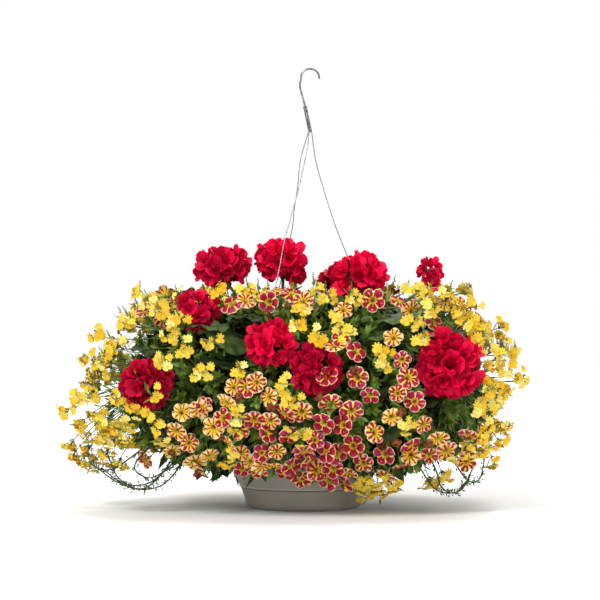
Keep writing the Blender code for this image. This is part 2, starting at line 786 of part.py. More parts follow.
def head_solids(head, space, rng):
    """A core, a neck, and double florets of cupped petals all over but at the neck."""
    radii = head.radii
    solids = [ball(radii * HEAD_CORE, head.middle, 1)]
    solids.append(tube((head.middle + head.neck * 0.2 * radii.z, head.seat), (NECK_RADIUS, NECK_RADIUS), 1))
    for solid in solids:
        space.add(solid, head.name, "core")
    count = 2 if radii.x < SMALL_HEAD else 3
    turn_all = rng.uniform(0, math.tau)
    frame = (-head.neck).to_track_quat("Z", "Y").to_matrix()
    for k in range(count + 1):
        if k == 0:
            aim = frame @ Vector((0.0, 0.0, 1.0))
        else:
            angle = turn_all + math.tau * k / count
            aim = frame @ Vector((math.cos(angle), math.sin(angle), 0.05 + 0.2 * (k % 2))).normalized()
        solids += floret_of_petals(head, aim, PETALS_PER_FLORET[k], space, rng)
    return solids


def floret_of_petals(head, aim, count, space, rng):
    """Petals that cup round one direction of a head."""
    radii = head.radii
    root = head.middle + Vector([aim[k] * radii[k] * 0.4 for k in range(3)])
    reach = 0.5 * (radii.x + radii.z)
    frame = aim.to_track_quat("Z", "Y").to_matrix()
    spin = rng.uniform(0, math.tau)
    solids = []
    for k in range(count):
        angle = spin + math.tau * k / count + rng.uniform(-0.2, 0.2)
        lift = rng.uniform(0.42, 0.72)
        along = frame @ Vector((math.cos(angle), math.sin(angle), lift)).normalized()
        shape = petal(reach * rng.uniform(0.74, 0.84), reach * rng.uniform(0.60, 0.72), 0.1 * reach)
        solid = shape.moved(blade_placement(root, along, aim))
        if space.free(solid, head.name, ignore=("core", "petal")):
            space.add(solid, head.name, "petal")
            solids.append(solid)
    return solids


# Growing bushes


class Bush:
    """One crown with its stems: each stem is a line of points with radii, and carries solids."""

    def __init__(self, name, crown, space):
        self.name = name
        self.crown = crown
        self.space = space
        self.stems = []
        self.bars = []
        self.carried = []

    def start(self):
        """Where a new stem leaves: out of the soil for the first, from the crown for the others."""
        if not self.stems:
            foot = Vector((self.crown.x, self.crown.y, HOLE_BOTTOM + GAP))
            return [(foot, CROWN_RADIUS), (self.crown + Vector((0, 0, 6 * MM)), CROWN_RADIUS * 0.9)]
        height = (6 - 3.5 * (len(self.stems) % 3)) * MM
        return [(self.crown + Vector((0, 0, height)), CROWN_RADIUS * 0.8)]

    def route(self, start, end, radius, end_radius):
        """A way from one point to another that is free: straight or over one bent point, and
        thinner where the room is narrow."""
        for share in SHARES:
            last = max(end_radius * share, THIN_STEM)
            first = min(radius, max(radius * share, THIN_STEM) + 2 * MM)
            for bend in BENDS:
                points = [start, end]
                radii = [first, last]
                if bend.length > 0:
                    points.insert(1, start.lerp(end, 0.5) + bend)
                    radii.insert(1, 0.5 * (first + last))
                solid = tube(points, [r * ROUND_ROOM + TWIST_ROOM for r in radii], rings=2)
                if self.space.free(solid, self.name, ignore=("stem", "bloom")):
                    return list(zip(points, radii))
        return None

    def lengthen(self, line, end, radius):
        """Lead a stem on to a point, if there is a way, and say whether there was."""
        found = self.route(line[-1][0], end, line[-1][1], radius)
        if found:
            line[-1:] = found
        return bool(found)

    def climb(self, ways):
        """A stem through way points, each with its radius, that leaves out what it can't reach."""
        line = self.start()
        for way, radius in ways:
            self.lengthen(line, way, radius)
        self.keep(line, [])

    def grow(self, ways, stops, radius, carry):
        """A thin stem past its way points to each stop, which gets what carry makes there."""
        line = self.start()
        held = []
        for way in ways:
            self.lengthen(line, way, radius)
        for stop in stops:
            flowers, foot = carry(self, stop)
            if flowers and self.lengthen(line, foot, max(radius * 0.8, THIN_STEM)):
                held += flowers
                for flower in flowers:
                    self.space.add(flower, self.name, "bloom")
        if held or not stops:
            self.keep(line, held)

    def keep(self, line, held, beside=None):
        """Take up a finished stem, made thinner until it is free, and what it carries, and say
        whether it is free at all."""
        if len(line) < 2:
            return False
        for share in SHARES:
            thinner = [(point, max(radius * share, THIN_STEM)) for point, radius in line]
            bar = tube([p for p, r in thinner], [r for p, r in thinner])
            if self.space.free(bar, self.name, ignore=("stem", "bloom"), rooted=True, beside=beside):
                self.space.add(bar, self.name, "stem")
                self.stems.append(thinner)
                self.bars.append(bar)
                self.carried += held
                return True
        return False

    def nearest(self, place):
        """The point of the bush's stems that is nearest to a place, and the stem's radius there."""
        best = None
        for line in self.stems:
            for (a, ra), (b, rb) in zip(line[1:], line[2:]):
                share = min(max((place - a).dot(b - a) / max((b - a).length_squared, 1e-12), 0.06), 0.94)
                point = a.lerp(b, share)
                gap = (place - point).length
                if best is None or gap < best[0]:
                    best = (gap, point, ra + (rb - ra) * share)
        return best

    def solids(self):
        """All that has grown."""
        return self.bars + self.carried


def add_trumpet(bushes, stop, rng):
    """One striped trumpet near a place, its funnel sunk in the nearest stem that lies behind it."""
    out = outwards(stop)
    spin = rng.uniform(0, math.tau)
    size = TRUMPET_SIZE * rng.uniform(0.9, 1.05)
    lean = Vector([rng.uniform(-0.3, 0.3) for _ in range(3)])
    for nudge in NUDGES:
        place = stop + nudge
        found = sorted(
            ((bush.nearest(place), bush) for bush in bushes if bush.stems), key=lambda item: item[0][0]
        )
        for (gap, root, radius), bush in found[:2]:
            back = place - root
            if gap > TRUMPET_REACH or gap < radius + 0.5 * TRUMPET_DEPTH:
                continue
            aim = (out + lean + back.normalized()).normalized()
            turn = facing(aim, spin, place)
            tip = turn.inverted() @ (root + back.normalized() * 0.3 * radius)
            if tip.z < TRUMPET_DEPTH:
                continue
            solid = trumpet(size, tip).moved(turn)
            shifts = [tuple(aim * s * MM) for s in (0, 0.5, -0.5)]
            if bush.space.free(solid, bush.name, ignore=("stem",), shifts=shifts):
                bush.space.add(solid, bush.name, "bloom")
                bush.carried.append(solid)
                return True
    return False


def carry_floret(rng):
    """What puts a yellow floret at a stop, its spur sunk in the stem."""

    def carry(bush, stop):
        out = outwards(stop)
        spin = rng.uniform(0, math.tau)
        lean = Vector([rng.uniform(-0.4, 0.4) for _ in range(3)])
        aim = (out + lean + Vector((0, 0, 0.3))).normalized()
        for nudge in NUDGES:
            foot = stop + nudge - out * FLORET_DEPTH
            place = foot + aim * (FLORET_DEPTH - 0.6 * MM)
            solid = floret(FLORET_SIZE).moved(facing(aim, spin, place))
            if bush.space.free(solid, bush.name, ignore=("stem",)):
                return [solid], foot
        return [], None

    return carry


def nothing_carried(bush, stop):
    """A stop that only the stem passes."""
    return [], stop


def chains(stops, length):
    """Stops of one bush as strings of neighbours, each from its highest down."""
    ordered = sorted(stops, key=azimuth_of)
    count = max(1, math.ceil(len(ordered) / length))
    rows = [ordered[k * len(ordered) // count : (k + 1) * len(ordered) // count] for k in range(count)]
    return [sorted(row, key=lambda p: -p.z) for row in rows]


def by_bush(points, count):
    """Points sorted to the one of several even sectors in which they lie."""
    groups = [[] for _ in range(count)]
    for point in points:
        groups[int(azimuth_of(point) // (360.0 / count))].append(point)
    return groups


def add_leaves(bush, spacing, length, width, rng):
    """Leaves at even steps along a bush's stems, by turns to either side, their roots sunk in."""
    side = 1.0
    for line in bush.stems:
        for (a, start), (b, end) in zip(line[1:], line[2:]):
            steps = round((b - a).length / spacing)
            for k in range(steps):
                share = (k + 0.5) / steps
                axis = a.lerp(b, share)
                if axis.z < SOIL_EDGE_HEIGHT + LEAFLESS_HEIGHT and math.hypot(axis.x, axis.y) < RIM_RADIUS:
                    continue
                side = -side
                radius = start + (end - start) * share
                add_leaf(bush, axis, radius, (b - a).normalized(), side, (length, width), rng)


def add_leaf(bush, axis, radius, ahead, side, size, rng):
    """One leaf from a stem, turned the first way that is free."""
    out = outwards(axis)
    across = ahead.cross(out).normalized() * side
    grown = rng.uniform(0.85, 1.15)
    for aside, outward, onward in LEAF_TURNS:
        wander = Vector([rng.uniform(-0.2, 0.2) for _ in range(3)])
        along = (across * aside + out * outward + ahead * onward + wander).normalized()
        up = out * 0.9 + Vector((0, 0, 0.6)) + wander
        root = axis + along * (0.55 * radius - LEAF_SUNK)
        shape = leaf(size[0] * grown + LEAF_SUNK, size[1] * grown, 0.8 * MM)
        solid = shape.moved(blade_placement(root, along, up))
        shifts = [tuple(up.normalized() * s * MM) for s in (0, 0.5, -0.5)]
        if bush.space.free(solid, bush.name, ignore=("stem",), shifts=shifts):
            bush.space.add(solid, bush.name, "leaf")
            bush.carried.append(solid)
            return


def foliage_point(azimuth, rise):
    """A point of the inner foliage at an azimuth and a rise over the mound's middle, in degrees."""
    x, y = radians_of(azimuth)
    up = FOLIAGE_UP if rise > 0 else FOLIAGE_DOWN
    level = math.cos(math.radians(rise))
    return Vector((
        FOLIAGE_SIDE * level * x, FOLIAGE_FRONT * level * y,
        MOUND_MIDDLE + up * math.sin(math.radians(rise)),
    ))


def grow_calibrachoas(space, rng):
    """Trailing bushes: stout leafy stems that arch over the rim, with the striped trumpets."""
    bushes = []
    for number in range(BUSHES_ROUND):
        azimuth = 360.0 * (number + 0.5) / BUSHES_ROUND
        crown = polar(CALIBRACHOA_CROWN_RADIUS, azimuth, SOIL_EDGE_HEIGHT + 2 * MM)
        bush = Bush("calibrachoa_%02d" % (number + 1), crown, space)
        bushes.append(bush)
        for stem in range(STEMS_PER_BUSH):
            aside = 360.0 / BUSHES_ROUND / STEMS_PER_BUSH * (stem - 0.5 * (STEMS_PER_BUSH - 1))
            lean = azimuth + aside
            shoulder = polar(SHOULDER_RADIUS, azimuth + SHOULDER_SPREAD * aside, SHOULDER_HEIGHT)
            ways = [(shoulder, SHOULDER_STEM)]
            for rise, radius in STEM_RADII:
                jitter = rng.uniform(-STEM_JITTER, STEM_JITTER)
                ways.append((foliage_point(lean + jitter, rise), radius * rng.uniform(0.9, 1.1)))
            bush.climb(ways)
    for stop in both_sides(STRIPED_PX, 0.97, TRUMPETS_BEHIND, rng):
        add_trumpet(bushes, stop, rng)
    return bushes


def grow_nemesias(space, rng):
    """Wiry bushes that carry the yellow bunches and the bare loops."""
    stops = both_sides(YELLOW_PX, 1.0, BUNCHES_BEHIND, rng)
    bushes = []
    for number, group in enumerate(by_bush(stops, NEMESIA_BUSHES)):
        azimuth = 360.0 * (number + 0.5) / NEMESIA_BUSHES
        if not group:
            continue
        crown = polar(NEMESIA_CROWN_RADIUS, azimuth, SOIL_EDGE_HEIGHT + 3 * MM)
        bush = Bush("nemesia_%02d" % (len(bushes) + 1), crown, space)
        for row in chains(group, BUNCHES_ON_A_STEM):
            row.sort(key=lambda p: (p - crown).length)
            first = row[0]
            side = azimuth_of(first) if abs(azimuth_of(first) - azimuth) < SECTOR_REACH else azimuth
            height = max(ARCH_LOW, min(first.z - ARCH_UNDER, ARCH_HIGH))
            ways = [polar(ARCH_RADIUS, 0.5 * (side + azimuth), height)]
            if first.z < OVER_HEIGHT:
                ways.append(polar(OUTER_ARCH_RADIUS, side, OUTER_ARCH_HEIGHT))
            bush.grow(ways, row, NEMESIA_STEM, carry_floret(rng))
        if bush.stems:
            bushes.append(bush)
    for points in LOOPS.values():
        route = smooth([Vector(p) * MM for p in points], 2)
        bush = min(bushes, key=lambda b: abs(azimuth_of(b.crown) - azimuth_of(route[0])))
        over = route[0].copy()
        over.z = OVER_HEIGHT
        ways = [polar(LOOP_ARCH_RADIUS, azimuth_of(over), LOOP_ARCH_HEIGHT), over] + route
        bush.grow(ways, [], THIN_STEM, nothing_carried)
    return bushes


def grow_geraniums(space, heads):
    """Bushes that carry the red heads on stalks."""
    bushes = []
    for azimuth in GERANIUM_AZIMUTHS:
        crown = polar(GERANIUM_CROWN_RADIUS, azimuth, SOIL_EDGE_HEIGHT + 5 * MM)
        bushes.append(Bush("geranium_%d" % (len(bushes) + 1), crown, space))
    for head in heads:
        nearest = sorted(
            bushes, key=lambda b: abs((azimuth_of(b.crown) - azimuth_of(head.middle) + 180) % 360 - 180)
        )
        for bush, lift in ((bush, lift) for bush in nearest for lift in STALK_LIFTS):
            if raise_stalk(bush, head, lift):
                break
    return bushes


def raise_stalk(bush, head, lift):
    """A stalk to a head's neck, straight over its last stretch, if there is a way."""
    line = bush.start()
    bush.lengthen(line, bush.crown.lerp(head.middle, 0.4) + Vector((0, 0, lift)), GERANIUM_STALK)
    before = head.seat + head.neck * NECK_APPROACH
    bush.lengthen(line, before, GERANIUM_STALK)
    if (line[-1][0] - before).length > GAP:
        return False
    line.append((head.seat + head.neck * GAP, GERANIUM_STALK))
    return bush.keep(line, [], head.name)


def add_round_leaves(bush, places):
    """Broad leaves, each on a stalk of its own from the crown."""

    def carry(bush, stop):
        out = outwards(stop)
        up = (out + Vector((0, 0, 0.8))).normalized()
        away = Vector((stop.x, stop.y, 0.0)).normalized()
        spread = (away - up * away.dot(up)).normalized()
        shifts = [tuple(up * s * MM) for s in (0, 0.6, -0.6)]
        for nudge in NUDGES:
            foot = stop + nudge
            blade = round_leaf(size * MM).moved(blade_placement(foot - spread * LEAF_OVERLAP, spread, up))
            if bush.space.free(blade, bush.name, ignore=("stem",), shifts=shifts):
                return [blade], foot
        return [], None

    for aside, reach, height, size in places:
        stop = polar(reach * MM, azimuth_of(bush.crown) + aside, height * MM)
        bush.grow([], [stop], LEAF_STALK, carry)


# Joining


def joined(name, solids, group, finishes, rng):
    """One closed body from overlapping solids: a union, its largest body, and short edges drawn
    together. Where the union isn't sound, it is made again from solids moved by a hair."""
    base = put(name, solids[0].mesh(name), group, finishes)
    for attempt in range(JOIN_ATTEMPTS):
        moved = [solid.shifted(attempt * JOIN_SHIFT, rng) for solid in solids]
        mesh = union_of(name, moved, finishes)
        for distance in WELDS:
            body = largest(mesh)
            bmesh.ops.remove_doubles(body, verts=body.verts, dist=distance)
            bmesh.ops.dissolve_degenerate(body, edges=body.edges, dist=distance)
            bmesh.ops.triangulate(body, faces=body.faces)
            if sound(body):
                body.to_mesh(mesh)
                body.free()
                base.data = mesh
                return base
            body.free()
    largest(mesh).to_mesh(mesh)
    base.data = mesh
    return base


def union_of(name, solids, finishes):
    """The union of a list of solids as one mesh."""
    loose = collection("joining")
    first = put(name, solids[0].mesh(name), loose, finishes)
    others = collection("joined_on")
    for k, solid in enumerate(solids[1:]):
        put("piece_%d" % k, solid.mesh("piece"), others, finishes)
    union = first.modifiers.new("join", "BOOLEAN")
    union.operation = "UNION"
    union.solver = "MANIFOLD"
    union.operand_type = "COLLECTION"
    union.collection = others
    drawn = first.evaluated_get(bpy.context.evaluated_depsgraph_get())
    mesh = bpy.data.meshes.new_from_object(drawn)
    for used in (loose, others):
        for piece in list(used.objects):
            bpy.data.objects.remove(piece)
        bpy.data.collections.remove(used)
    return mesh


def islands_of(shape, linked):
    """The faces of a shape, grouped by what is linked to what."""
    left = set(shape.faces)
    islands = []
    while left:
        start = left.pop()
        island = {start}
        ahead = [start]
        while ahead:
            for other in linked(ahead.pop()):
                if other in left:
                    left.remove(other)
                    island.add(other)
                    ahead.append(other)
        islands.append(island)
    return sorted(islands, key=len)


def across_edges(face):
    """Neighbours over the edges that two faces share."""
    return [other for edge in face.edges if len(edge.link_faces) == 2 for other in edge.link_faces]


def across_corners(face):
    """All the faces that share a corner."""
    return [other for corner in face.verts for other in corner.link_faces]


def largest(mesh):
    """The body with most faces: loose scraps and sealed hollows are dropped."""
    shape = bmesh.new()
    shape.from_mesh(mesh)
    bmesh.ops.triangulate(shape, faces=shape.faces)
    for island in islands_of(shape, across_edges)[:-1]:
        bmesh.ops.delete(shape, geom=list(island), context="FACES")
    loose = [corner for corner in shape.verts if not corner.link_faces]
    bmesh.ops.delete(shape, geom=loose, context="VERTS")
    return shape


def sound(shape):
    """Whether a shape is one closed body with two faces at every edge and nothing folded flat."""
    if any(len(edge.link_faces) != 2 or not edge.is_contiguous for edge in shape.edges):
        return False
    if any(face.calc_area() < LEAST_FACE for face in shape.faces):
        return False
    if any(len(corner.link_edges) != len(corner.link_faces) for corner in shape.verts):
        return False
    return len(islands_of(shape, across_corners)) == 1 and shape.calc_volume(signed=True) > 0


def main():
    """Build the basket."""
    clear_scene()
    rng = random.Random(SEED)
    parts = collection("mixed_flower_hanging_basket")
    pot_cutters = collection("pot_cutters")
    soil_cutters = collection("soil_cutters")
    plastic = material("taupe_plastic", (0.27, 0.24, 0.20), 0.5)
    earth = material("potting_soil", (0.035, 0.022, 0.014), 0.95)
    steel = material("galvanised_wire", (0.55, 0.55, 0.55), 0.35, 1.0)
    green = material("leaf_green", (0.07, 0.15, 0.035), 0.55)
    red = material("geranium_red", (0.55, 0.004, 0.03), 0.5)
    crimson = material("striped_crimson", (0.45, 0.01, 0.05), 0.5)
    yellow = material("nemesia_yellow", (0.85, 0.65, 0.05), 0.5)

    space = Space()
    for name in LEG_AZIMUTHS:
        line = leg_line(name)
        space.add(tube(line, [LEG_WIRE] * len(line)), "hanger_wire_" + name, "wire")
    space.add(pot_shell(), "pot", "wall")
    heads = all_heads()
    made = {}
    for head in heads:
        space.cores.append((np.array(head.middle), 0.5 * head.radii.x, head.name))
    for head in heads:
        made[head.name] = head_solids(head, space, rng)
    geraniums = grow_geraniums(space, heads)
    for bush in geraniums:
        add_round_leaves(bush, INNER_LEAVES)
    nemesias = grow_nemesias(space, rng)
    calibrachoas = grow_calibrachoas(space, rng)
    for bush in geraniums:
        add_round_leaves(bush, OUTER_LEAVES)
    for bush in calibrachoas:
        spacing = LEAF_SPACING_IN_BLOOM if len(bush.carried) > IN_BLOOM else LEAF_SPACING
        add_leaves(bush, spacing, LEAF_LENGTH, LEAF_WIDTH, rng)
    for bush in nemesias:
        add_leaves(bush, NARROW_SPACING, NARROW_LENGTH, NARROW_WIDTH, rng)
    bushes = geraniums + calibrachoas + nemesias
    for name, solids in made.items():
        joined(name, solids, parts, (green, red), rng)
    for bush in geraniums:
        joined(bush.name, bush.solids(), parts, (green, red), rng)
    for bush in calibrachoas:
        joined(bush.name, bush.solids(), parts, (green, crimson), rng)
    for bush in nemesias:
        joined(bush.name, bush.solids(), parts, (green, yellow), rng)
    make_pot(parts, pot_cutters, plastic)
    make_soil(parts, soil_cutters, [bush.crown for bush in bushes], earth)
    make_hook(parts, steel)
    make_legs(parts, steel)


main()
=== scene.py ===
"""The mixed flower hanging basket, dressed: pot, soil, wire hanger, red geraniums, striped
calibrachoas and yellow nemesias, on a pale floor in soft studio light. Metres, +Z up, front along -Y."""

import math

import bpy
import numpy as np
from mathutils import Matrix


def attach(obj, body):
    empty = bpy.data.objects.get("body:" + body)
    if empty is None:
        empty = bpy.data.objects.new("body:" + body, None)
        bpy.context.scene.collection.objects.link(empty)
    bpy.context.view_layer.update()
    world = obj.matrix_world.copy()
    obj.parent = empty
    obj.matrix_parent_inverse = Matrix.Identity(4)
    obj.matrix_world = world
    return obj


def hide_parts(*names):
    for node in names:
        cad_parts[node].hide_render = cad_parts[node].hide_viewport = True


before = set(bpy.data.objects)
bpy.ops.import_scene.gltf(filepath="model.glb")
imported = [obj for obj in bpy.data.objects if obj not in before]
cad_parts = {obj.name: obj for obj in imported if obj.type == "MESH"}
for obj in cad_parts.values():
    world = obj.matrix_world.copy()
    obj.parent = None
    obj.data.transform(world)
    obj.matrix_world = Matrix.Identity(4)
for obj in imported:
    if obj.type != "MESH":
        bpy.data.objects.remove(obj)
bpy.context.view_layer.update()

MM = 0.001
GOLDEN = math.radians(137.508)

# The camera: its distance and place in mm, the width that it sees at the axis, the middle of its picture
# in pixels, and the size of a pixel at the axis
EYE_DISTANCE = 3000.0
EYE = np.array((-5.2, -EYE_DISTANCE, 269.0)) * MM
VIEW_WIDTH = 780.0
EYE_PX = 300
PX = 1.3 * MM
SENSOR = 36.0
LENS = SENSOR * EYE_DISTANCE / VIEW_WIDTH

# Floor and light. Each lamp: name, where it shines from, how broad its light is, its power
FLOOR_RADIUS = 6.0
SKY_LIGHT = 0.5
LAMPS = (
    ("key", (-1.5, -2.2, 2.2), 0.36, 2.1),
    ("fill", (1.9, -2.0, 1.0), 0.6, 0.7),
    ("top", (0.2, 0.3, 2.4), 0.5, 1.1),
    ("back", (0.8, 2.4, 1.6), 0.6, 0.9),
)

# The mound of flowers: half width, half depth, the height of its middle, its reach up and down from there
# and how much its low part flares. Its back and its ends reach less far to the sides.
MOUND_SIDE = 325 * MM
MOUND_FRONT = 232 * MM
MOUND_MIDDLE = 150 * MM
MOUND_UP = 188 * MM
MOUND_DOWN = 132 * MM
LOW_FLARE = 0.75
BACK_REACH = 245 * MM
BACK_DRAWN_IN = 1.3
BACK_SHAKE = 12 * MM

# Extra places round the mound's ends: how many aims, and where the far ones begin
END_AIMS = 350
FAR_OUT = 235 * MM

# The pot's foot: its flat part and the bend beside it in mm. Its floor: how thick, the plain middle, how
# far the sectors round the drain holes reach, the holes, their ring and size, and the points round one
FOOT_FLAT = 66
FOOT_BEND = 10.4
FLOOR_THICK = 2.2 * MM
FLOOR_MIDDLE = 40 * MM
FLOOR_EDGE = 56 * MM
DRAINS = 6
DRAIN_RING = 48 * MM
DRAIN_RADIUS = 4 * MM
DRAIN_POINTS = 32

# The soil: its edge's height and radius, and the crumbs on it
SOIL_EDGE = 136 * MM
SOIL_RADIUS = 117.3 * MM
CRUMBS = 620

# Geraniums: the crowns' ring and height in mm, the height that the heads' stalks lean to, how many round
# leaves, their sizes in mm and how far out they lie
CROWN_RING = 30
CROWN_HEIGHT = 138
HEAD_CENTRE = 145 * MM
ROUND_LEAVES = 66
ROUND_LEAF_SIZES = (20, 31)
ROUND_LEAF_REACH = (232 * MM, 172 * MM, 132 * MM)

# Calibrachoas: bushes, shoots, points on a shoot, where its leaves begin and where they come in pairs, the
# dark leaves behind them, their dark tone painted shade, and how far out those lie, and the sizes of fresh
# and wilted blooms
BUSHES = 10
SHOOTS = 960
SHOOT_POINTS = 24
FIRST_LEAF = 8
PAIRED_FROM = 17
DARK_LEAVES = 3600
DARK_REACH = (246 * MM, 186 * MM, 118 * MM)
BLOOM_SIZES = (11.6, 15.8)
WILTED_SIZE = 7.2 * MM

# Nemesias: points on a stem, florets in a bunch and their sizes in mm
WIRY_POINTS = 16
FLORETS = 7
FLORET_SIZES = (5.4, 7.6)

# Places of the striped trumpets, as pixels of the front view
STRIPED_PX = (
    (182, 412), (226, 404), (213, 428), (189, 443), (229, 445), (210, 457), (195, 463), (204, 406),
    (172, 452), (200, 474), (234, 387), (256, 382), (268, 397), (254, 421), (270, 422), (277, 452),
    (250, 463), (263, 466), (292, 467), (310, 462), (326, 453), (302, 413), (323, 424), (331, 405),
    (342, 425), (311, 481), (333, 470), (357, 378), (370, 396), (397, 393), (415, 401), (376, 432),
    (353, 446), (385, 477), (402, 468), (429, 456), (467, 462), (412, 447), (347, 474), (363, 464),
    (438, 440), (467, 436), (402, 360), (409, 377), (373, 300), (399, 300), (344, 309), (393, 337),
    (341, 339), (357, 351), (246, 300), (231, 303), (268, 302), (292, 293), (335, 345),
    (200, 410), (247, 386), (193, 466), (410, 455), (327, 376), (276, 290), (302, 300), (384, 455),
    (284, 415), (316, 440), (222, 418), (238, 430), (176, 432), (447, 452), (338, 455),
    (243, 470), (258, 473), (273, 467), (285, 475), (301, 480), (318, 471), (328, 481), (344, 484),
    (262, 453), (304, 453), (241, 454), (290, 437), (268, 433), (352, 412), (392, 418), (424, 425),
)

# Places of wilted blooms, as pixels of the front view
WILTED_PX = (
    (200, 477), (170, 456), (309, 484), (268, 309), (381, 449), (240, 400), (322, 399), (396, 446),
    (262, 440), (345, 452), (296, 478), (356, 371), (404, 415), (430, 448), (218, 440), (273, 408),
)

# Places of the yellow bunches, as pixels of the front view
YELLOW_PX = (
    (147, 300), (177, 300), (129, 320), (97, 332), (114, 343), (87, 357), (107, 360), (76, 400), (63, 412),
    (98, 415), (85, 437), (111, 445), (73, 457), (100, 462), (168, 337), (185, 347), (212, 341), (162, 362),
    (137, 377), (152, 396), (203, 373), (135, 410), (155, 424), (161, 439), (224, 462), (218, 287),
    (248, 292), (313, 288), (325, 297), (302, 307), (298, 324), (317, 332), (335, 322), (242, 374),
    (285, 384), (291, 399), (238, 413), (236, 429), (302, 437), (350, 297), (347, 332), (407, 287),
    (416, 322), (421, 337), (383, 350), (386, 366), (424, 289), (432, 306), (448, 295), (458, 311),
    (473, 303), (481, 323), (479, 343), (494, 365), (514, 349), (523, 378), (507, 391), (483, 408),
    (497, 403), (490, 427), (501, 445), (405, 425), (455, 457), (494, 463), (430, 484), (443, 478),
    (356, 488), (375, 492), (391, 489), (92, 398), (112, 425), (122, 436), (88, 452), (118, 400),
    (104, 437), (180, 320), (160, 312), (470, 325), (465, 345), (490, 385), (500, 425), (480, 440),
    (296, 430), (232, 456), (140, 290), (488, 450), (80, 425), (95, 440), (106, 455), (118, 464), (70, 446),
    (90, 467), (101, 427), (80, 462), (128, 426),
    (360, 490), (368, 497), (380, 496), (392, 484), (385, 481), (372, 487), (362, 482), (512, 372),
    (500, 356), (486, 396), (470, 440), (505, 432), (478, 456),
)

# The red heads in front: middle as a pixel of the front view and its depth, width and height in mm,
# and brightness, which is painted light and shade: higher for lit heads, lower for shaded ones
FRONT_HEADS = (
    (221, 267, -42, 70, 54, 0.6), (281, 261, -8, 76, 54, 0.95), (197, 309, -128, 56, 46, 0.6),
    (269, 345, -186, 58, 62, 0.8), (316, 367, -196, 67, 62, 0.4), (148, 384, -152, 64, 60, 0.4),
    (360, 275, -84, 74, 50, 0.85), (430, 275, -46, 34, 54, 0.65), (449, 366, -150, 80, 76, 0.65),
)
# The red heads at the back: middle, width and height in mm, and brightness, which is painted light and shade
BACK_HEADS = (
    (-150, 118, 248, 70, 56, 0.6), (-62, 178, 190, 66, 60, 0.8), (58, 112, 292, 72, 54, 0.5),
    (150, 146, 218, 68, 60, 0.7), (28, 196, 128, 64, 58, 0.5),
)

# A dark hollow among the leaves: middle and half sizes as pixels of the front view
HOLLOW_PX = (237, 345, 15, 32)

# Where the leaves are given more tone, lighter than those round them, as pixels of the front view, and how
# far that spreads
LIGHTER_LEAF_PX = (
    (262, 400), (255, 440), (273, 277), (385, 410), (420, 398), (432, 428), (408, 440), (300, 442),
    (342, 434), (392, 372), (176, 405), (270, 472), (404, 405), (365, 412), (425, 468),
)
LIGHTER_LEAF_SPREAD = 13.0

# Bare wiry stems that loop out low at the sides: points in mm
LOOPS = (
    ((-128, -60, 188), (-150, -70, 125), (-186, -80, 92), (-214, -88, 60), (-196, -80, 44), (-166, -74, 58)),
    ((-128, -42, 188), (-150, -50, 130), (-206, -66, 80), (-246, -70, 54), (-272, -62, 62), (-276, -52, 90)),
    ((-110, -80, 188), (-130, -95, 100), (-163, -98, 66), (-195, -98, 39), (-232, -92, 38), (-266, -80, 60)),
    ((-116, -70, 188), (-140, -84, 96), (-158, -88, 58), (-184, -84, 33), (-222, -78, 32), (-258, -70, 56)),
    ((-120, -66, 188), (-144, -76, 108), (-178, -82, 52), (-206, -82, 30), (-236, -72, 44), (-250, -66, 74)),
    ((100, -80, 188), (120, -95, 110), (160, -106, 66), (172, -104, 35), (190, -100, 27), (209, -92, 46)),
    ((110, -60, 188), (130, -70, 125), (180, -78, 76), (206, -80, 42), (222, -76, 42), (230, -68, 70)),
    ((96, -84, 188), (124, -104, 100), (148, -116, 54), (168, -112, 30), (196, -104, 30), (212, -96, 56)),
)


# Numbers and directions


def turns(n):
    """Angles in even steps round a circle."""
    return math.tau * np.arange(n) / n


def beside(*parts):
    """Numbers, points or rows side by side, so that each place gets one of every part."""
    return np.stack(parts, axis=1)


def rows(*parts):
    """One row for each point of a grid, from grids of its numbers."""
    return np.stack(parts, axis=-1).reshape(-1, len(parts))


def norm(v):
    """Vectors divided by their length."""
    return v / np.maximum(np.linalg.norm(v, axis=-1, keepdims=True), 1e-9)


def brought_forward(px, py, y):
    """The point at a depth on the line of sight through a pixel: eye plus the pixel's offset,
    shrunk by the share of the distance that is left."""
    nearer = 1.0 + y / (EYE_DISTANCE * MM)
    return np.array((EYE[0] + (px - EYE_PX) * PX * nearer, y, EYE[2] + (EYE_PX - py) * PX * nearer))


def seen_at(points):
    """The pixel of the front view at each point, by its place across and its height."""
    return beside((points[:, 0] - EYE[0]) / PX + EYE_PX, (EYE[2] - points[:, 2]) / PX + EYE_PX)


def on_mound(px, py, shell=1.0):
    """Where a pixel's line of sight meets the mound: depth = front radius x sqrt(1 - x^2 - z^2)."""
    x = (px - EYE_PX) * PX + EYE[0]
    z = (EYE_PX - py) * PX + EYE[2]
    if z > MOUND_MIDDLE:
        taken = ((z - MOUND_MIDDLE) / MOUND_UP) ** 2
    else:
        taken = LOW_FLARE * ((z - MOUND_MIDDLE) / MOUND_DOWN) ** 2
    left = 1.0 - (x / MOUND_SIDE) ** 2 - taken
    return brought_forward(px, py, -MOUND_FRONT * shell * math.sqrt(max(left, 0.0)))


def outwards(points):
    """The direction straight out of the mound at each point: the gradient of its ellipsoid."""
    rise = np.where(points[:, 2] > MOUND_MIDDLE, MOUND_UP, MOUND_DOWN)
    above = points[:, 2] - MOUND_MIDDLE
    return norm(beside(points[:, 0] / MOUND_SIDE ** 2, points[:, 1] / MOUND_FRONT ** 2, above / rise ** 2))


def turned_out(points):
    """A lean of blooms to the front on the front side and to the back behind."""
    return np.where(points[:, 1:2] < 0, -0.4, 0.4) * (0, 1, 0)


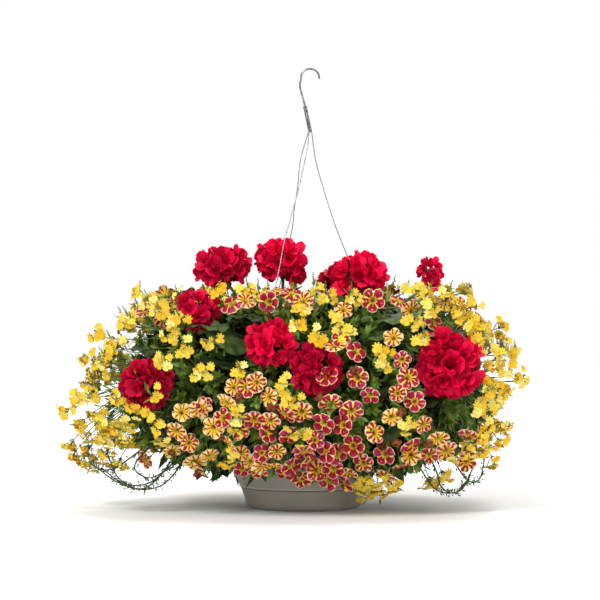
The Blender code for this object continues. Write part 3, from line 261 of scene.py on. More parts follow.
def both_sides(pixels, shell, keep_back, rng):
    """The front's places, and a share of them again at the back, turned half round the pot, shaken a
    little and drawn in where they lie too far out."""
    front = np.array([on_mound(px, py, shell) for px, py in pixels])
    shown = (front[:, 1] < -60 * MM) & (front[:, 2] > 60 * MM)
    chosen = shown & (rng.random(len(front)) < keep_back)
    back = front[chosen] * (-1, -1, 1) + rng.uniform(-BACK_SHAKE, BACK_SHAKE, (chosen.sum(), 3))
    back[:, 0] -= BACK_DRAWN_IN * np.maximum(back[:, 0] - BACK_REACH, 0)
    return np.vstack((front, back))


def spread_over_ball(n, low, high):
    """Directions by the golden angle: heights in even steps from high to low."""
    z = np.linspace(high, low, n)
    a = GOLDEN * np.arange(n)
    r = np.sqrt(1 - z * z)
    return beside(r * np.cos(a), r * np.sin(a), z)


def head_places():
    """Node, middle, half width and height, and brightness of every head, the brightness being painted light
    and shade.
    """
    heads = []
    for k, (px, py, depth, *rest) in enumerate(FRONT_HEADS, 1):
        heads.append(("front_%d" % k, brought_forward(px, py, depth * MM), *rest))
    for k, (x, y, z, *rest) in enumerate(BACK_HEADS, 1):
        heads.append(("back_%d" % k, np.array((x, y, z)) * MM, *rest))
    return [
        ("geranium_head_" + name, middle, np.array((width, width, height)) * 0.5 * MM, bright)
        for name, middle, width, height, bright in heads
    ]


def outside_heads(places, gap):
    """Which places lie outside every red head's ellipsoid grown by the gap."""
    free = np.ones(len(places), bool)
    for _, middle, radii, _ in head_places():
        free &= np.linalg.norm((places - middle) / (radii + gap), axis=1) > 1
    return free


def round_the_ends():
    """More places on the mound's two ends and its back and top, which the front view sees edge-on or not
    at all: the golden angle over its ellipsoid, drawn in a little and kept under the red heads. Those
    near the middle come first, then those far out."""
    rng = np.random.default_rng(29)
    aims = spread_over_ball(END_AIMS, -0.72, 0.93)
    rise = np.where(aims[:, 2] > 0, MOUND_UP, MOUND_DOWN)
    shell = rng.uniform(0.82, 0.93, (len(aims), 1))
    places = aims * shell * beside(0 * rise + MOUND_SIDE, 0 * rise + MOUND_FRONT, rise)
    places[:, 2] = np.minimum(places[:, 2] + MOUND_MIDDLE, rng.uniform(255, 284, len(aims)) * MM)
    ends = (places[:, 1] > -50 * MM) & (places[:, 1] < 90 * MM)
    top = (places[:, 2] > 240 * MM) & (places[:, 1] > -120 * MM)
    low = places[:, 2] < 170 * MM
    places[low, 0] = np.minimum(places[low, 0], BACK_REACH - 5 * MM)
    places = places[(ends | top) & outside_heads(places, 10 * MM)]
    far = np.abs(places[:, 0]) >= FAR_OUT
    return places[~far], places[far]


def bases(along, up):
    """Frames whose y runs along and whose z leans to up: x = y cross up, z = x cross y."""
    y = norm(along)
    x = norm(np.cross(y, up))
    return beside(x, y, np.cross(x, y))


def facing(normals, spins):
    """Frames whose z is the normal, turned about it by an angle."""
    helper = np.where(np.abs(normals[:, 2:3]) < 0.9, (0.0, 0.0, 1.0), (1.0, 0.0, 0.0))
    first = norm(np.cross(helper, normals))
    second = np.cross(normals, first)
    c, s = np.cos(spins)[:, None], np.sin(spins)[:, None]
    return beside(first * c + second * s, second * c - first * s, normals)


def sector(points, count, start=0.0):
    """Which of several even sectors round the pot each point lies in, counted from a first angle."""
    turn = (np.degrees(np.arctan2(points[:, 1], points[:, 0])) - start) % 360.0
    return np.minimum((turn // (360.0 / count)).astype(int), count - 1)


# Templates: points, triangles, quads and UV of one repeat

NO_TRIS = np.zeros((0, 3), int)


def band(k, inwards=False):
    """Quads between rows of point numbers, each row closed into a ring."""
    after = np.roll(k, -1, axis=1)
    corners = (k[:-1], after[:-1], after[1:], k[1:])
    if inwards:
        corners = (k[:-1], k[1:], after[1:], after[:-1])
    return rows(*corners)


def blade(across, along, width, profile, height):
    """A blade: x = width u profile(v) / 2, y = v, z = height(u, v), for u from -1 to 1, v from 0 to 1."""
    v, u = np.meshgrid(np.linspace(0, 1, along), np.linspace(-1, 1, across), indexing="ij")
    points = rows(0.5 * width * u * profile(v), v, height(u, v))
    k = np.arange(across * along).reshape(along, across)
    quads = rows(k[:-1, :-1], k[:-1, 1:], k[1:, 1:], k[1:, :-1])
    return points, NO_TRIS, quads, rows(0.5 + 0.5 * u, v)


def disc(around, rings, reach, height):
    """A round sheet: (r R(a) cos a, r R(a) sin a, height(a, r)), for angle a and r from 0 to 1."""
    r, a = np.meshgrid(np.linspace(0, 1, rings + 1)[1:], turns(around), indexing="ij")
    length = r * reach(a)
    points = rows(length * np.cos(a), length * np.sin(a), height(a, r))
    middle = np.array([[0.0, 0.0, float(np.mean(height(a[:1], 0.0 * r[:1])))]])
    uv = rows(0.5 + 0.5 * r * np.cos(a), 0.5 + 0.5 * r * np.sin(a))
    k = 1 + np.arange(around * rings).reshape(rings, around)
    tris = beside(np.zeros(around, int), k[0], np.roll(k[0], -1))
    return np.vstack((middle, points)), tris, band(k, True), np.vstack(([[0.5, 0.5]], uv))


def plain_disc(around, rings, radius, z=0.0, facing_up=True, height=lambda a, r: 0 * a):
    """A round sheet with a plain edge at a height above the floor: flat, unless a height is given."""
    points, tris, quads, uv = disc(around, rings, lambda a: 1.0 + 0 * a, height)
    points = points * radius + (0, 0, z)
    if facing_up:
        return points, tris, quads, uv
    return points, tris[:, ::-1], quads[:, ::-1], uv


def revolved(profile, around, inwards=False):
    """A profile of radius and height turned round Z: (r cos a, r sin a, z), outer side bottom to top."""
    a = turns(around)
    radius, height = np.array(profile).T[:, :, None]
    points = rows(radius * np.cos(a), radius * np.sin(a), height + 0 * a)
    k = np.arange(len(points)).reshape(-1, around)
    return points, NO_TRIS, band(k, inwards), np.zeros((len(points), 2))


def geranium_petal(width, bend, ruffle):
    """A broad petal: narrow root, widest at two thirds, cupped up by v squared, ruffled at the edge."""
    return blade(
        4, 5, width,
        lambda v: np.sin(np.pi * (0.07 + 0.80 * v ** 1.35)) ** 0.75,
        lambda u, v: bend * v ** 2 + ruffle * v * np.sin(2.6 * u + 1.3 * v) + 0.10 * u * u * v,
    )


def lance_leaf(fold, droop):
    """A lance-shaped leaf: width follows sin(pi v^0.8), folded by |u|, its tip drooping by v^2."""
    return blade(
        3, 4, 0.42,
        lambda v: np.sin(np.pi * np.clip(v, 0.02, 0.985) ** 0.8),
        lambda u, v: fold * np.abs(u) * np.sin(np.pi * v) + 0.12 * v - droop * v ** 2,
    )


def narrow_leaf():
    """A narrow leaf: width follows sin(pi v), its tip bent down a little."""
    return blade(
        3, 4, 0.17, lambda v: np.sin(np.pi * np.clip(v, 0.03, 0.97)), lambda u, v: 0.08 * v - 0.1 * v * v
    )


def round_leaf():
    """A geranium leaf: radius 1 + scallops, notched at its stalk, gently waved and dished."""
    def reach(a):
        scallops = 1 + 0.05 * np.cos(9 * a) + 0.02 * np.cos(27 * a)
        return scallops * (1 - 0.55 * np.exp(-((a - np.pi) / 0.22) ** 2))

    def height(a, r):
        return 0.10 * r * r * np.sin(3 * a) + 0.07 * r ** 3 * np.cos(9 * a) + 0.16 * r - 0.2 * r ** 3

    return disc(36, 5, reach, height)


def trumpet(bend):
    """A calibrachoa bloom: five rounded lobes with notches between, flat and slightly bent back, and
    a funnel that sinks by exp(-(r / 0.27)^2) in the middle."""
    return disc(
        30, 5,
        lambda a: 0.74 + 0.26 * np.abs(np.cos(2.5 * a)) ** 0.5,
        lambda a, r: -0.6 * np.exp(-((r / 0.27) ** 2)) - bend * r ** 3 + 0.09 * r * r * np.cos(5 * a),
    )


def funnel():
    """The tube behind a bloom: radius falls from 0.27 to 0.03 over its length, six-sided."""
    profile = ((0.27, -0.22), (0.15, -0.50), (0.11, -0.95), (0.03, -1.12))
    points, tris, quads, uv = revolved(profile, 6, True)
    return points, tris, quads, uv + 0.5


def lipped_floret():
    """A nemesia floret: four small round lobes above a broad two-lobed lip, with a raised palate."""
    def reach(a):
        upper = 0.50 + 0.38 * np.abs(np.sin(4 * a)) ** 0.6
        lower = 0.70 + 0.32 * np.abs(np.sin(2 * a)) ** 0.5
        return np.where(np.sin(a) > 0.0, upper, lower)

    def height(a, r):
        palate = np.exp(-((r * np.cos(a)) ** 2 + (r * np.sin(a) + 0.28) ** 2) / 0.05)
        return 0.3 * palate + 0.3 * r * r * np.where(np.sin(a) > 0, 1.0, -0.6) - 0.12

    return disc(24, 2, reach, height)


def bead():
    """A small closed ball: two rings of five points between two poles."""
    a = turns(5)
    rings = [
        beside(math.sin(t) * np.cos(a), math.sin(t) * np.sin(a), np.full(5, -math.cos(t)))
        for t in (1.0, 2.1)
    ]
    points = np.vstack(([[0, 0, -1.0]], *rings, [[0, 0, 1.0]]))
    k = 1 + np.arange(5)
    after = np.roll(k, -1)
    low = beside(np.zeros(5, int), after, k)
    high = beside(np.full(5, 11), k + 5, after + 5)
    return points, np.vstack((low, high)), band(np.stack((k, k + 5))), np.full((12, 2), 0.5)


# Collecting repeats into one piece


class Growth:
    """Repeats on their way to one mesh: points, faces, UV, a tone for each point, a finish for each face."""

    def __init__(self):
        self.parts = []
        self.count = 0

    def take(self, points, tris, quads, uv, tone=0.5, finish=0):
        """Add loose arrays, their faces counted on from what is there, with one tone or one a point."""
        tone = np.broadcast_to(np.asarray(tone, float), (len(points),))
        self.parts.append((points, tris + self.count, quads + self.count, uv, tone, finish))
        self.count += len(points)

    def place(self, template, origins, frames, scales, tones, finish):
        """Add a template at every origin: point = origin + scale (x X + y Y + z Z)."""
        local, tris, quads, uv = template
        n, m = len(origins), len(local)
        if n == 0:
            return
        scales = np.broadcast_to(np.asarray(scales, float), (n,))
        world = origins[:, None] + scales[:, None, None] * np.einsum("mk,nkj->nmj", local, frames)
        step = (np.arange(n) * m)[:, None, None]
        tone = np.repeat(np.broadcast_to(np.asarray(tones, float), (n,)), m)
        self.take(
            world.reshape(-1, 3), (tris + step).reshape(-1, 3), (quads + step).reshape(-1, 4),
            np.tile(uv, (n, 1)), tone, finish,
        )

    def tubes(self, paths, radii, tone, finish, sides=5):
        """Round stems along many lines of equal point counts, with parallel rings and closed ends."""
        n, p = paths.shape[:2]
        if n == 0:
            return
        ahead = norm(np.gradient(paths, axis=1))
        helper = np.where(np.abs(ahead[:, :1, 2:3]) < 0.8, (0.0, 0.0, 1.0), (1.0, 0.3, 0.0))
        side = norm(np.cross(ahead, np.broadcast_to(helper, ahead.shape)))
        other = np.cross(ahead, side)
        a = turns(sides)
        ring = side[:, :, None] * np.cos(a)[:, None] + other[:, :, None] * np.sin(a)[:, None]
        radii = np.broadcast_to(np.asarray(radii, float), (n, p))
        points = paths[:, :, None] + radii[:, :, None, None] * ring
        k = np.arange(p * sides).reshape(p, sides)
        ends = beside(k[-1, :-2], k[-1, 1:-1], np.full(sides - 2, k[-1, -1]))
        starts = beside(k[0, 1:-1], k[0, :-2], np.full(sides - 2, k[0, -1]))
        step = (np.arange(n) * p * sides)[:, None, None]
        along = np.tile(np.repeat(np.linspace(0, 1, p), sides), n)
        uv = beside(np.tile(np.arange(sides) / sides, n * p), along)
        self.take(
            points.reshape(-1, 3), (np.vstack((ends, starts)) + step).reshape(-1, 3),
            (band(k) + step).reshape(-1, 4), uv, tone, finish,
        )

    def build(self, name, finishes):
        """One object from all that was added."""
        points, tris, quads, uv, tone = (np.concatenate([part[k] for part in self.parts]) for k in range(5))
        slots = np.concatenate([np.full(len(part[k]), part[5]) for k in (1, 2) for part in self.parts])
        corners = np.concatenate((tris.ravel(), quads.ravel()))
        starts = np.concatenate((np.arange(len(tris)) * 3, len(tris) * 3 + np.arange(len(quads)) * 4))
        mesh = bpy.data.meshes.new(name)
        mesh.vertices.add(len(points))
        mesh.vertices.foreach_set("co", points.astype(np.float32).ravel())
        mesh.loops.add(len(corners))
        mesh.loops.foreach_set("vertex_index", corners.astype(np.int32))
        mesh.polygons.add(len(starts))
        mesh.polygons.foreach_set("loop_start", starts.astype(np.int32))
        mesh.polygons.foreach_set("material_index", slots.astype(np.int32))
        mesh.polygons.foreach_set("use_smooth", np.ones(len(starts), bool))
        mesh.update(calc_edges=True)
        layer = mesh.uv_layers.new(name="surface")
        layer.data.foreach_set("uv", uv[corners].astype(np.float32).ravel())
        mesh.attributes.new("tone", "FLOAT", "POINT").data.foreach_set("value", tone.astype(np.float32))
        for finish in finishes:
            mesh.materials.append(finish)
        item = bpy.data.objects.new(name, mesh)
        bpy.context.scene.collection.objects.link(item)
        return item

    def done(self, name, finishes, slot_name, *nodes):
        """The object, riding on the pot, with its material slots, in place of CAD nodes. The slot name is not
        used.
        """
        item = self.build(name, finishes)
        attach(item, "root")
        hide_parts(*nodes)


def bent(corners, count):
    """Lines resampled from Bezier corners: sum of binomial weights times the corners, over t in 0..1."""
    points = beside(*corners)
    degree = points.shape[1] - 1
    t = np.linspace(0, 1, count)
    weights = np.stack([math.comb(degree, k) * t ** k * (1 - t) ** (degree - k) for k in range(degree + 1)])
    return np.einsum("kt,nkj->ntj", weights, points)


def rounded_line(points, pieces):
    """A Catmull-Rom line through points, several points to each stretch."""
    knots = np.vstack((2 * points[0] - points[1], points, 2 * points[-1] - points[-2]))
    t = np.linspace(0, 1, pieces, endpoint=False)[:, None]
    stretches = []
    for a, b, c, d in zip(knots, knots[1:], knots[2:], knots[3:]):
        curve = 2 * b + (c - a) * t + (2 * a - 5 * b + 4 * c - d) * t ** 2
        stretches.append((curve + (3 * b - a - 3 * c + d) * t ** 3) / 2)
    return np.vstack((*stretches, points[-1:]))


# Finishes


class Shade:
    """A short way to lay out nodes: each call adds one node, sets or links its inputs, gives its output."""

    def __init__(self, tree):
        self.tree = tree

    def node(self, kind, inputs=(), **settings):
        """A node with its settings, its inputs set or linked in order or by name."""
        node = self.tree.nodes.new(kind)
        for key, value in settings.items():
            setattr(node, key, value)
        pairs = inputs.items() if isinstance(inputs, dict) else enumerate(inputs)
        for key, value in pairs:
            if isinstance(value, bpy.types.NodeSocket):
                self.tree.links.new(value, node.inputs[key])
            else:
                node.inputs[key].default_value = value
        return node

    def math(self, operation, *inputs, clamp=False):
        """A sum, product or other simple operation."""
        return self.node("ShaderNodeMath", inputs, operation=operation, use_clamp=clamp).outputs[0]

    def times(self, first, second):
        """A product."""
        return self.math("MULTIPLY", first, second)

    def plus(self, first, second, clamp=False):
        """A sum."""
        return self.math("ADD", first, second, clamp=clamp)

    def wave(self, kind, value, count):
        """The size of the sine or cosine of a value taken a number of times."""
        return self.math("ABSOLUTE", self.math(kind, self.times(value, count)))

    def ramp(self, value, low, high):
        """0 below low, 1 above high, smooth between."""
        inputs = (value, low, high, 0.0, 1.0)
        return self.node("ShaderNodeMapRange", inputs, interpolation_type="SMOOTHSTEP").outputs[0]

    def mix(self, factor, first, second):
        """Two colours mixed."""
        inputs = {"Factor": factor, 6: first, 7: second}
        return self.node("ShaderNodeMix", inputs, data_type="RGBA").outputs[2]

    def tint(self, colour, mask, share, other):
        """A colour drawn towards another by a share of a mask."""
        return self.mix(self.times(mask, share), colour, (*other, 1))

    def place(self):
        """The point on the object."""
        return self.node("ShaderNodeTexCoord").outputs["Object"]

    def noise(self, scale, detail, roughness=0.5):
        """Soft noise over the object's own space."""
        inputs = {"Vector": self.place(), "Scale": scale, "Detail": detail, "Roughness": roughness}
        return self.node("ShaderNodeTexNoise", inputs).outputs["Fac"]

    def tone(self):
        """The tone kept at each point."""
        return self.node("ShaderNodeAttribute", attribute_name="tone").outputs["Fac"]

    def surface_uv(self):
        """The two coordinates over a repeat."""
        uv = self.node("ShaderNodeUVMap", uv_map="surface").outputs[0]
        return self.node("ShaderNodeSeparateXYZ", (uv,)).outputs[:2]

    def polar_uv(self):
        """Distance from the middle and angle of a round sheet, and both ways across it, from its UV."""
        x, y = (self.math("MULTIPLY_ADD", part, 2.0, -1.0) for part in self.surface_uv())
        r = self.math("SQRT", self.plus(self.times(x, x), self.times(y, y)))
        return r, self.math("ARCTAN2", y, x), x, y

    def mottled(self, dark, light, tone, scale, amount):
        """The shared colour group: its colour and its height."""
        inputs = {"Dark": (*dark, 1), "Light": (*light, 1), "Tone": tone, "Scale": scale, "Amount": amount}
        return self.node("ShaderNodeGroup", inputs, node_tree=MOTTLE).outputs[:2]


class Finish(Shade):
    """A new material and a way to lay out its nodes."""

    def __init__(self, name, roughness, metallic=0.0, gloss=0.5):
        self.material = bpy.data.materials.new(name)
        self.material.use_nodes = True
        super().__init__(self.material.node_tree)
        self.shader = self.tree.nodes["Principled BSDF"]
        values = {"Roughness": roughness, "Metallic": metallic, "Specular IOR Level": gloss}
        for socket, value in values.items():
            self.shader.inputs[socket].default_value = value

    def painted(self, colour):
        """The material with its colour."""
        self.tree.links.new(colour, self.shader.inputs["Base Color"])
        return self.material

    def finished(self, colour, height, strength, distance):
        """The material with its colour and a bump from a height."""
        bump = self.node("ShaderNodeBump", {"Strength": strength, "Distance": distance, "Height": height})
        self.tree.links.new(bump.outputs[0], self.shader.inputs["Normal"])
        return self.painted(colour)


def make_mottle():
    """The shared colour group: dark to light by tone, with soft noise over it, and the noise as height."""
    group = bpy.data.node_groups.new("mottle", "ShaderNodeTree")
    for name, way, kind in (
        ("Dark", "INPUT", "Color"), ("Light", "INPUT", "Color"), ("Tone", "INPUT", "Float"),
        ("Scale", "INPUT", "Float"), ("Amount", "INPUT", "Float"),
        ("Colour", "OUTPUT", "Color"), ("Height", "OUTPUT", "Float"),
    ):
        group.interface.new_socket(name=name, in_out=way, socket_type="NodeSocket" + kind)
    shade = Shade(group)
    given = shade.node("NodeGroupInput").outputs
    noise = shade.noise(given["Scale"], 3.0, 0.6)
    swing = shade.times(shade.plus(noise, -0.5), given["Amount"])
    colour = shade.mix(shade.plus(given["Tone"], swing, clamp=True), given["Dark"], given["Light"])
    shade.node("NodeGroupOutput", {"Colour": colour, "Height": noise})
    return group


def leaf_finish(name, dark, light, roughness, zone):
    """Leaf green with a paler midrib, or on a round leaf a dark ring and paler veins."""
    shade = Finish(name, roughness, gloss=0.25)
    colour, height = shade.mottled(dark, light, shade.tone(), 160.0, 0.5)
    if zone:
        r, a, _, _ = shade.polar_uv()
        ring = shade.times(shade.ramp(r, 0.35, 0.5), shade.ramp(r, 0.8, 0.62))
        colour = shade.tint(colour, ring, 0.45, (0.02, 0.035, 0.012))
        vein = shade.ramp(shade.wave("COSINE", a, 4.5), 0.08, 0.0)
        colour = shade.tint(colour, vein, 0.35, (0.16, 0.28, 0.08))
    else:
        u, _ = shade.surface_uv()
        rib = shade.ramp(shade.math("ABSOLUTE", shade.plus(u, -0.5)), 0.10, 0.0)
        colour = shade.tint(colour, rib, 0.35, (0.22, 0.36, 0.11))
    return shade.finished(colour, height, 0.35, 0.6 * MM)


def petal_red():
    """Geranium red: darker crimson towards each petal's root as painted shade in the folds, hot pink-red at
    the edge, with faint veins along the petal.
    """
    shade = Finish("geranium_red", 0.55, gloss=0.12)
    u, v = shade.surface_uv()
    # Painted shade: the tone falls towards the petal's root, deep among the folds
    tone = shade.plus(shade.tone(), shade.times(shade.plus(v, -0.6), 0.5), clamp=True)
    colour, _ = shade.mottled((0.20, 0.0, 0.010), (0.88, 0.003, 0.065), tone, 120.0, 0.5)
    vein = shade.wave("SINE", u, 34.0)
    colour = shade.tint(colour, shade.ramp(vein, 0.35, 0.0), 0.14, (0.28, 0.0, 0.02))
    return shade.finished(colour, vein, 0.12, 0.4 * MM)


def petal_striped():
    """Calibrachoa: a ragged wedge in each lobe, crimson in some blooms and rose in others, cream at the rim
    and between the lobes, a yellow star inside and an orange-brown throat. With more tone the wedges thin
    out and split into streaks, and below -0.3 the bloom is wilted and brown."""
    shade = Finish("striped_crimson", 0.6, gloss=0.12)
    r, a, _, _ = shade.polar_uv()
    tone = shade.tone()
    noise = shade.noise(330.0, 3.0)
    patch = shade.noise(38.0, 1.0)
    ragged = shade.times(shade.plus(noise, -0.5), 0.8)
    edge = shade.plus(shade.wave("COSINE", a, 2.5), ragged)
    out = shade.plus(r, shade.times(ragged, 0.3))
    border = shade.math("MULTIPLY_ADD", tone, 0.36, 0.14)
    middle = shade.math("SUBTRACT", shade.math("MULTIPLY_ADD", tone, -0.42, 1.16), edge)
    wedge = shade.ramp(shade.math("SUBTRACT", edge, border), 0.0, 0.12)
    for value, low, high in ((middle, -0.04, 0.08), (out, 0.26, 0.40), (out, 0.99, 0.91)):
        wedge = shade.times(wedge, shade.ramp(value, low, high))
    cream = shade.mix(shade.ramp(out, 0.52, 0.98), (0.76, 0.45, 0.03, 1), (0.80, 0.63, 0.28, 1))
    deep = shade.ramp(out, 0.45, 0.95)
    crimson = shade.mix(deep, (0.20, 0.002, 0.012, 1), (0.37, 0.008, 0.045, 1))
    rose = shade.mix(deep, (0.24, 0.004, 0.045, 1), (0.40, 0.025, 0.125, 1))
    colour = shade.mix(wedge, cream, shade.mix(shade.ramp(patch, 0.50, 0.64), crimson, rose))
    colour = shade.mix(shade.ramp(r, 0.28, 0.10), colour, (0.26, 0.06, 0.008, 1))
    brown = shade.mix(shade.ramp(noise, 0.35, 0.65), (0.075, 0.010, 0.008, 1), (0.26, 0.085, 0.022, 1))
    colour = shade.mix(shade.ramp(tone, -0.3, -0.5), colour, brown)
    return shade.finished(colour, noise, 0.3, 0.5 * MM)


def petal_yellow():
    """Nemesia: paler with more tone and golden with less, the lip golden too, and an orange palate."""
    shade = Finish("nemesia_yellow", 0.6, gloss=0.12)
    _, _, x, y = shade.polar_uv()
    tone = shade.tone()
    colour, height = shade.mottled((0.66, 0.40, 0.010), (0.83, 0.70, 0.10), tone, 300.0, 0.9)
    away = shade.plus(shade.times(x, x), shade.math("POWER", shade.plus(y, 0.25), 2.0))
    for value, low, high, share, other in (
        (tone, 0.70, 1.0, 0.7, (0.83, 0.76, 0.30)),
        (tone, 0.35, 0.1, 0.7, (0.86, 0.46, 0.010)),
        (y, 0.1, -0.35, 0.2, (0.90, 0.50, 0.010)),
        (away, 0.08, 0.015, 0.6, (0.72, 0.25, 0.004)),
    ):
        colour = shade.tint(colour, shade.ramp(value, low, high), share, other)
    return shade.finished(colour, height, 0.15, 0.3 * MM)


def plain_finish(name, dark, light, roughness, scale, amount, bump_size, metallic=0.0):
    """One mottled finish with a fine bump."""
    shade = Finish(name, roughness, metallic)
    colour, height = shade.mottled(dark, light, 0.5, scale, amount)
    return shade.finished(colour, height, 0.4, bump_size)


def moulded_plastic():
    """Taupe plastic, with a painted shadow in the groove under the step and a painted highlight along the
    step's
    lip: heights in mm where each begins, is full, starts to fade and is gone."""
    shade = Finish("taupe_plastic", 0.45)
    colour, height = shade.mottled((0.30, 0.275, 0.235), (0.36, 0.332, 0.285), 0.5, 35.0, 1.0)
    z = shade.node("ShaderNodeSeparateXYZ", (shade.place(),)).outputs[2]
    # Painted light: the first band is a painted shadow in the groove under the step, the second a painted
    # highlight on the step's lip
    for low, full, fade, gone, share, other in (
        (25.2, 26.4, 27.1, 27.9, 0.7, (0.06, 0.05, 0.04)),
        (27.6, 28.2, 29.4, 30.2, 0.4, (0.62, 0.59, 0.54)),
    ):
        line = shade.times(shade.ramp(z, low * MM, full * MM), shade.ramp(z, gone * MM, fade * MM))
        colour = shade.tint(colour, line, share, other)
    return shade.finished(colour, height, 0.4, 0.05 * MM)


MOTTLE = make_mottle()
LEAF = leaf_finish("leaf_green", (0.010, 0.019, 0.004), (0.27, 0.42, 0.060), 0.45, False)
ROUND_LEAF = leaf_finish("round_leaf_green", (0.012, 0.024, 0.006), (0.13, 0.22, 0.045), 0.55, True)
STEM = leaf_finish("stem_green", (0.020, 0.034, 0.012), (0.16, 0.24, 0.07), 0.5, False)
RED = petal_red()
STRIPED = petal_striped()
YELLOW = petal_yellow()
PLASTIC = moulded_plastic()
EARTH = plain_finish("potting_soil", (0.010, 0.006, 0.004), (0.060, 0.038, 0.022), 0.95, 220.0, 2.0, 2.5 * MM)
ZINC = plain_finish(
    "galvanised_wire", (0.05, 0.05, 0.055), (0.48, 0.48, 0.49), 0.3, 260.0, 2.4, 0.1 * MM, metallic=0.9
)
PLANT_FINISHES = (LEAF, STEM, STRIPED, YELLOW)
LEAF_AT, STEM_AT, STRIPED_AT, YELLOW_AT = range(4)


# Pot, soil and hanger


def holed_sector(number, height, facing_up):
    """A part of the pot's floor round one drain hole: the hole's circle blended out to the sector's edge."""
    t = turns(DRAIN_POINTS)
    half = math.pi / DRAINS
    middle = half * (2 * number + 1)
    across = (FLOOR_EDGE - FLOOR_MIDDLE) / 2
    stretch = 1 / np.maximum(np.abs(np.cos(t)), np.abs(np.sin(t)))
    edge_r = DRAIN_RING + across * np.cos(t) * stretch
    edge_a = middle + half * np.sin(t) * stretch
    hole = beside(DRAIN_RING + DRAIN_RADIUS * np.cos(t), DRAIN_RADIUS * np.sin(t))
    turn = np.array(((math.cos(middle), math.sin(middle)), (-math.sin(middle), math.cos(middle))))
    rings = [hole @ turn, beside(edge_r * np.cos(edge_a), edge_r * np.sin(edge_a))]
    points = np.vstack([np.column_stack((ring, np.full(DRAIN_POINTS, height))) for ring in rings])
    quads = band(np.arange(2 * DRAIN_POINTS).reshape(2, DRAIN_POINTS), True)
    return points, NO_TRIS, quads if facing_up else quads[:, ::-1], np.zeros((2 * DRAIN_POINTS, 2))


def make_pot():
    """The moulded pot: step ring low on the wall, straight slope, rolled rim, holed floor."""
    foot = [
        (FOOT_FLAT + FOOT_BEND * math.sin(turn), FOOT_BEND * (1 - math.cos(turn)))
        for turn in np.radians(np.arange(0, 91, 10))
    ]
    profile = [
        (56, 0), *foot, (81.6, 25.9), (81.9, 26.6), (82.2, 26.9), (83.5, 27.2), (84.0, 27.8), (84.1, 28.8),
        (84.0, 29.8), (84.3, 30.8), (96, 66), (110, 108), (121.2, 141.5), (121.4, 142.8), (129.6, 142.9),
        (130.2, 143.1), (130.0, 143.5), (131.7, 143.6), (132.0, 144.4), (132.0, 149.8), (131.6, 151.0),
        (130.6, 151.8), (129.4, 152.0), (123.6, 152.0), (122.4, 151.7), (121.7, 150.8), (120.6, 147.5),
        (108, 110), (82.6, 33), (81.5, 31), (74.4, 12.4), (72.0, 7.5), (68.0, 3.4), (63, 2.2), (56, 2.2),
    ]
    grown = Growth()
    grown.take(*revolved(np.array(profile) * MM, 96))
    faces = ((0.0, False), (FLOOR_THICK, True))
    for number in range(DRAINS):
        for height, up in faces:
            grown.take(*holed_sector(number, height, up))
        rims = [holed_sector(number, height, True)[0][:DRAIN_POINTS] for height in (FLOOR_THICK, 0.0)]
        wall = band(np.arange(2 * DRAIN_POINTS).reshape(2, DRAIN_POINTS))
        grown.take(np.vstack(rims), NO_TRIS, wall, np.zeros((2 * DRAIN_POINTS, 2)))
    for height, up in faces:
        grown.take(*plain_disc(96, 3, FLOOR_MIDDLE, height, up))
    grown.done("pot_finish", (PLASTIC,), "pot_plastic", "pot")


def make_soil(rng):
    """The soil: a low dome with a rough surface, its skirt down the wall, and loose crumbs of bark."""
    def dome(a, r):
        rough = np.sin(11 * a + 3) * np.sin(17 * r + a) + 0.6 * np.sin(29 * a) * np.sin(31 * r + 1)
        return 0.042 * (1 - r * r) + 0.011 * rough * (1 - r ** 6)

    skirt = np.array(((62, 2.6), (67, 4.6), (73.6, 12.8), (81.0, 31.5), (117.3, 136))) * MM
    grown = Growth()
    grown.take(*plain_disc(72, 14, SOIL_RADIUS, SOIL_EDGE, height=dome))
    grown.take(*revolved(skirt, 72))
    grown.take(*plain_disc(72, 2, skirt[0, 0], skirt[0, 1], False))
    r = 112 * MM * np.sqrt(rng.random(CRUMBS))
    a = rng.uniform(0, math.tau, CRUMBS)
    top = SOIL_EDGE + 5 * MM * (1 - (r / SOIL_RADIUS) ** 2) + 0.6 * MM
    frames = facing(norm(rng.normal(size=(CRUMBS, 3))), rng.uniform(0, 6, CRUMBS))
    frames = frames * rng.uniform(0.5, 1.5, (CRUMBS, 3, 1))
    places = beside(r * np.cos(a), r * np.sin(a), top)
    grown.place(bead(), places, frames, rng.uniform(1.2, 2.8, CRUMBS) * MM, 0.5, 0)
    grown.done("soil_surface", (EARTH,), "potting_soil", "potting_soil")


# The hook's bend, belly and waist, the shank, and the legs' coils round it, in mm
HOOK_CENTRE = np.array((8.0, 0.0, 557.8))
HOOK_RADIUS = 11.8
HOOK_SWEEP = (-8, 186)
HOOK_BELLY = (-5.3, 0, 547)
HOOK_WAIST = (-1.6, 0, 532)
WRAP_TOP = np.array((1.0, 0.0, 522.0))
SHANK_END = np.array((8.2, 0.0, 487.0))
HOOK_WIRE = 1.3 * MM
LEG_WIRE = 0.6 * MM
WRAP_TURNS = 8
WRAP_START = 1.0
WRAP_LENGTH = 31.5
WRAP_RADIUS = 2.1

# The rim holes' ring, and the heights over and under the rim at which a leg passes through, in mm
HOLE_RING = 127.2
OVER_RIM = 153.0
UNDER_RIM = 147.8

# The legs' ways from the shank to their rim holes: azimuth and points in mm
LEG_ROUTES = {
    "right": (0.0, ((15, 0, 451), (24, 0, 418), (34, 0, 386), (45.5, 0, 353), (86, 0, 254))),
    "back_left": (120.0, ((-4.5, 12, 452), (-8, 22, 420), (-13, 33, 387), (-17, 44, 355), (-40, 77, 254))),
    "front_left": (
        240.0, ((4.5, -7, 467), (-5.2, -22, 420), (-14.5, -33, 384), (-25, -46, 345), (-34, -61, 297)),
    ),
}


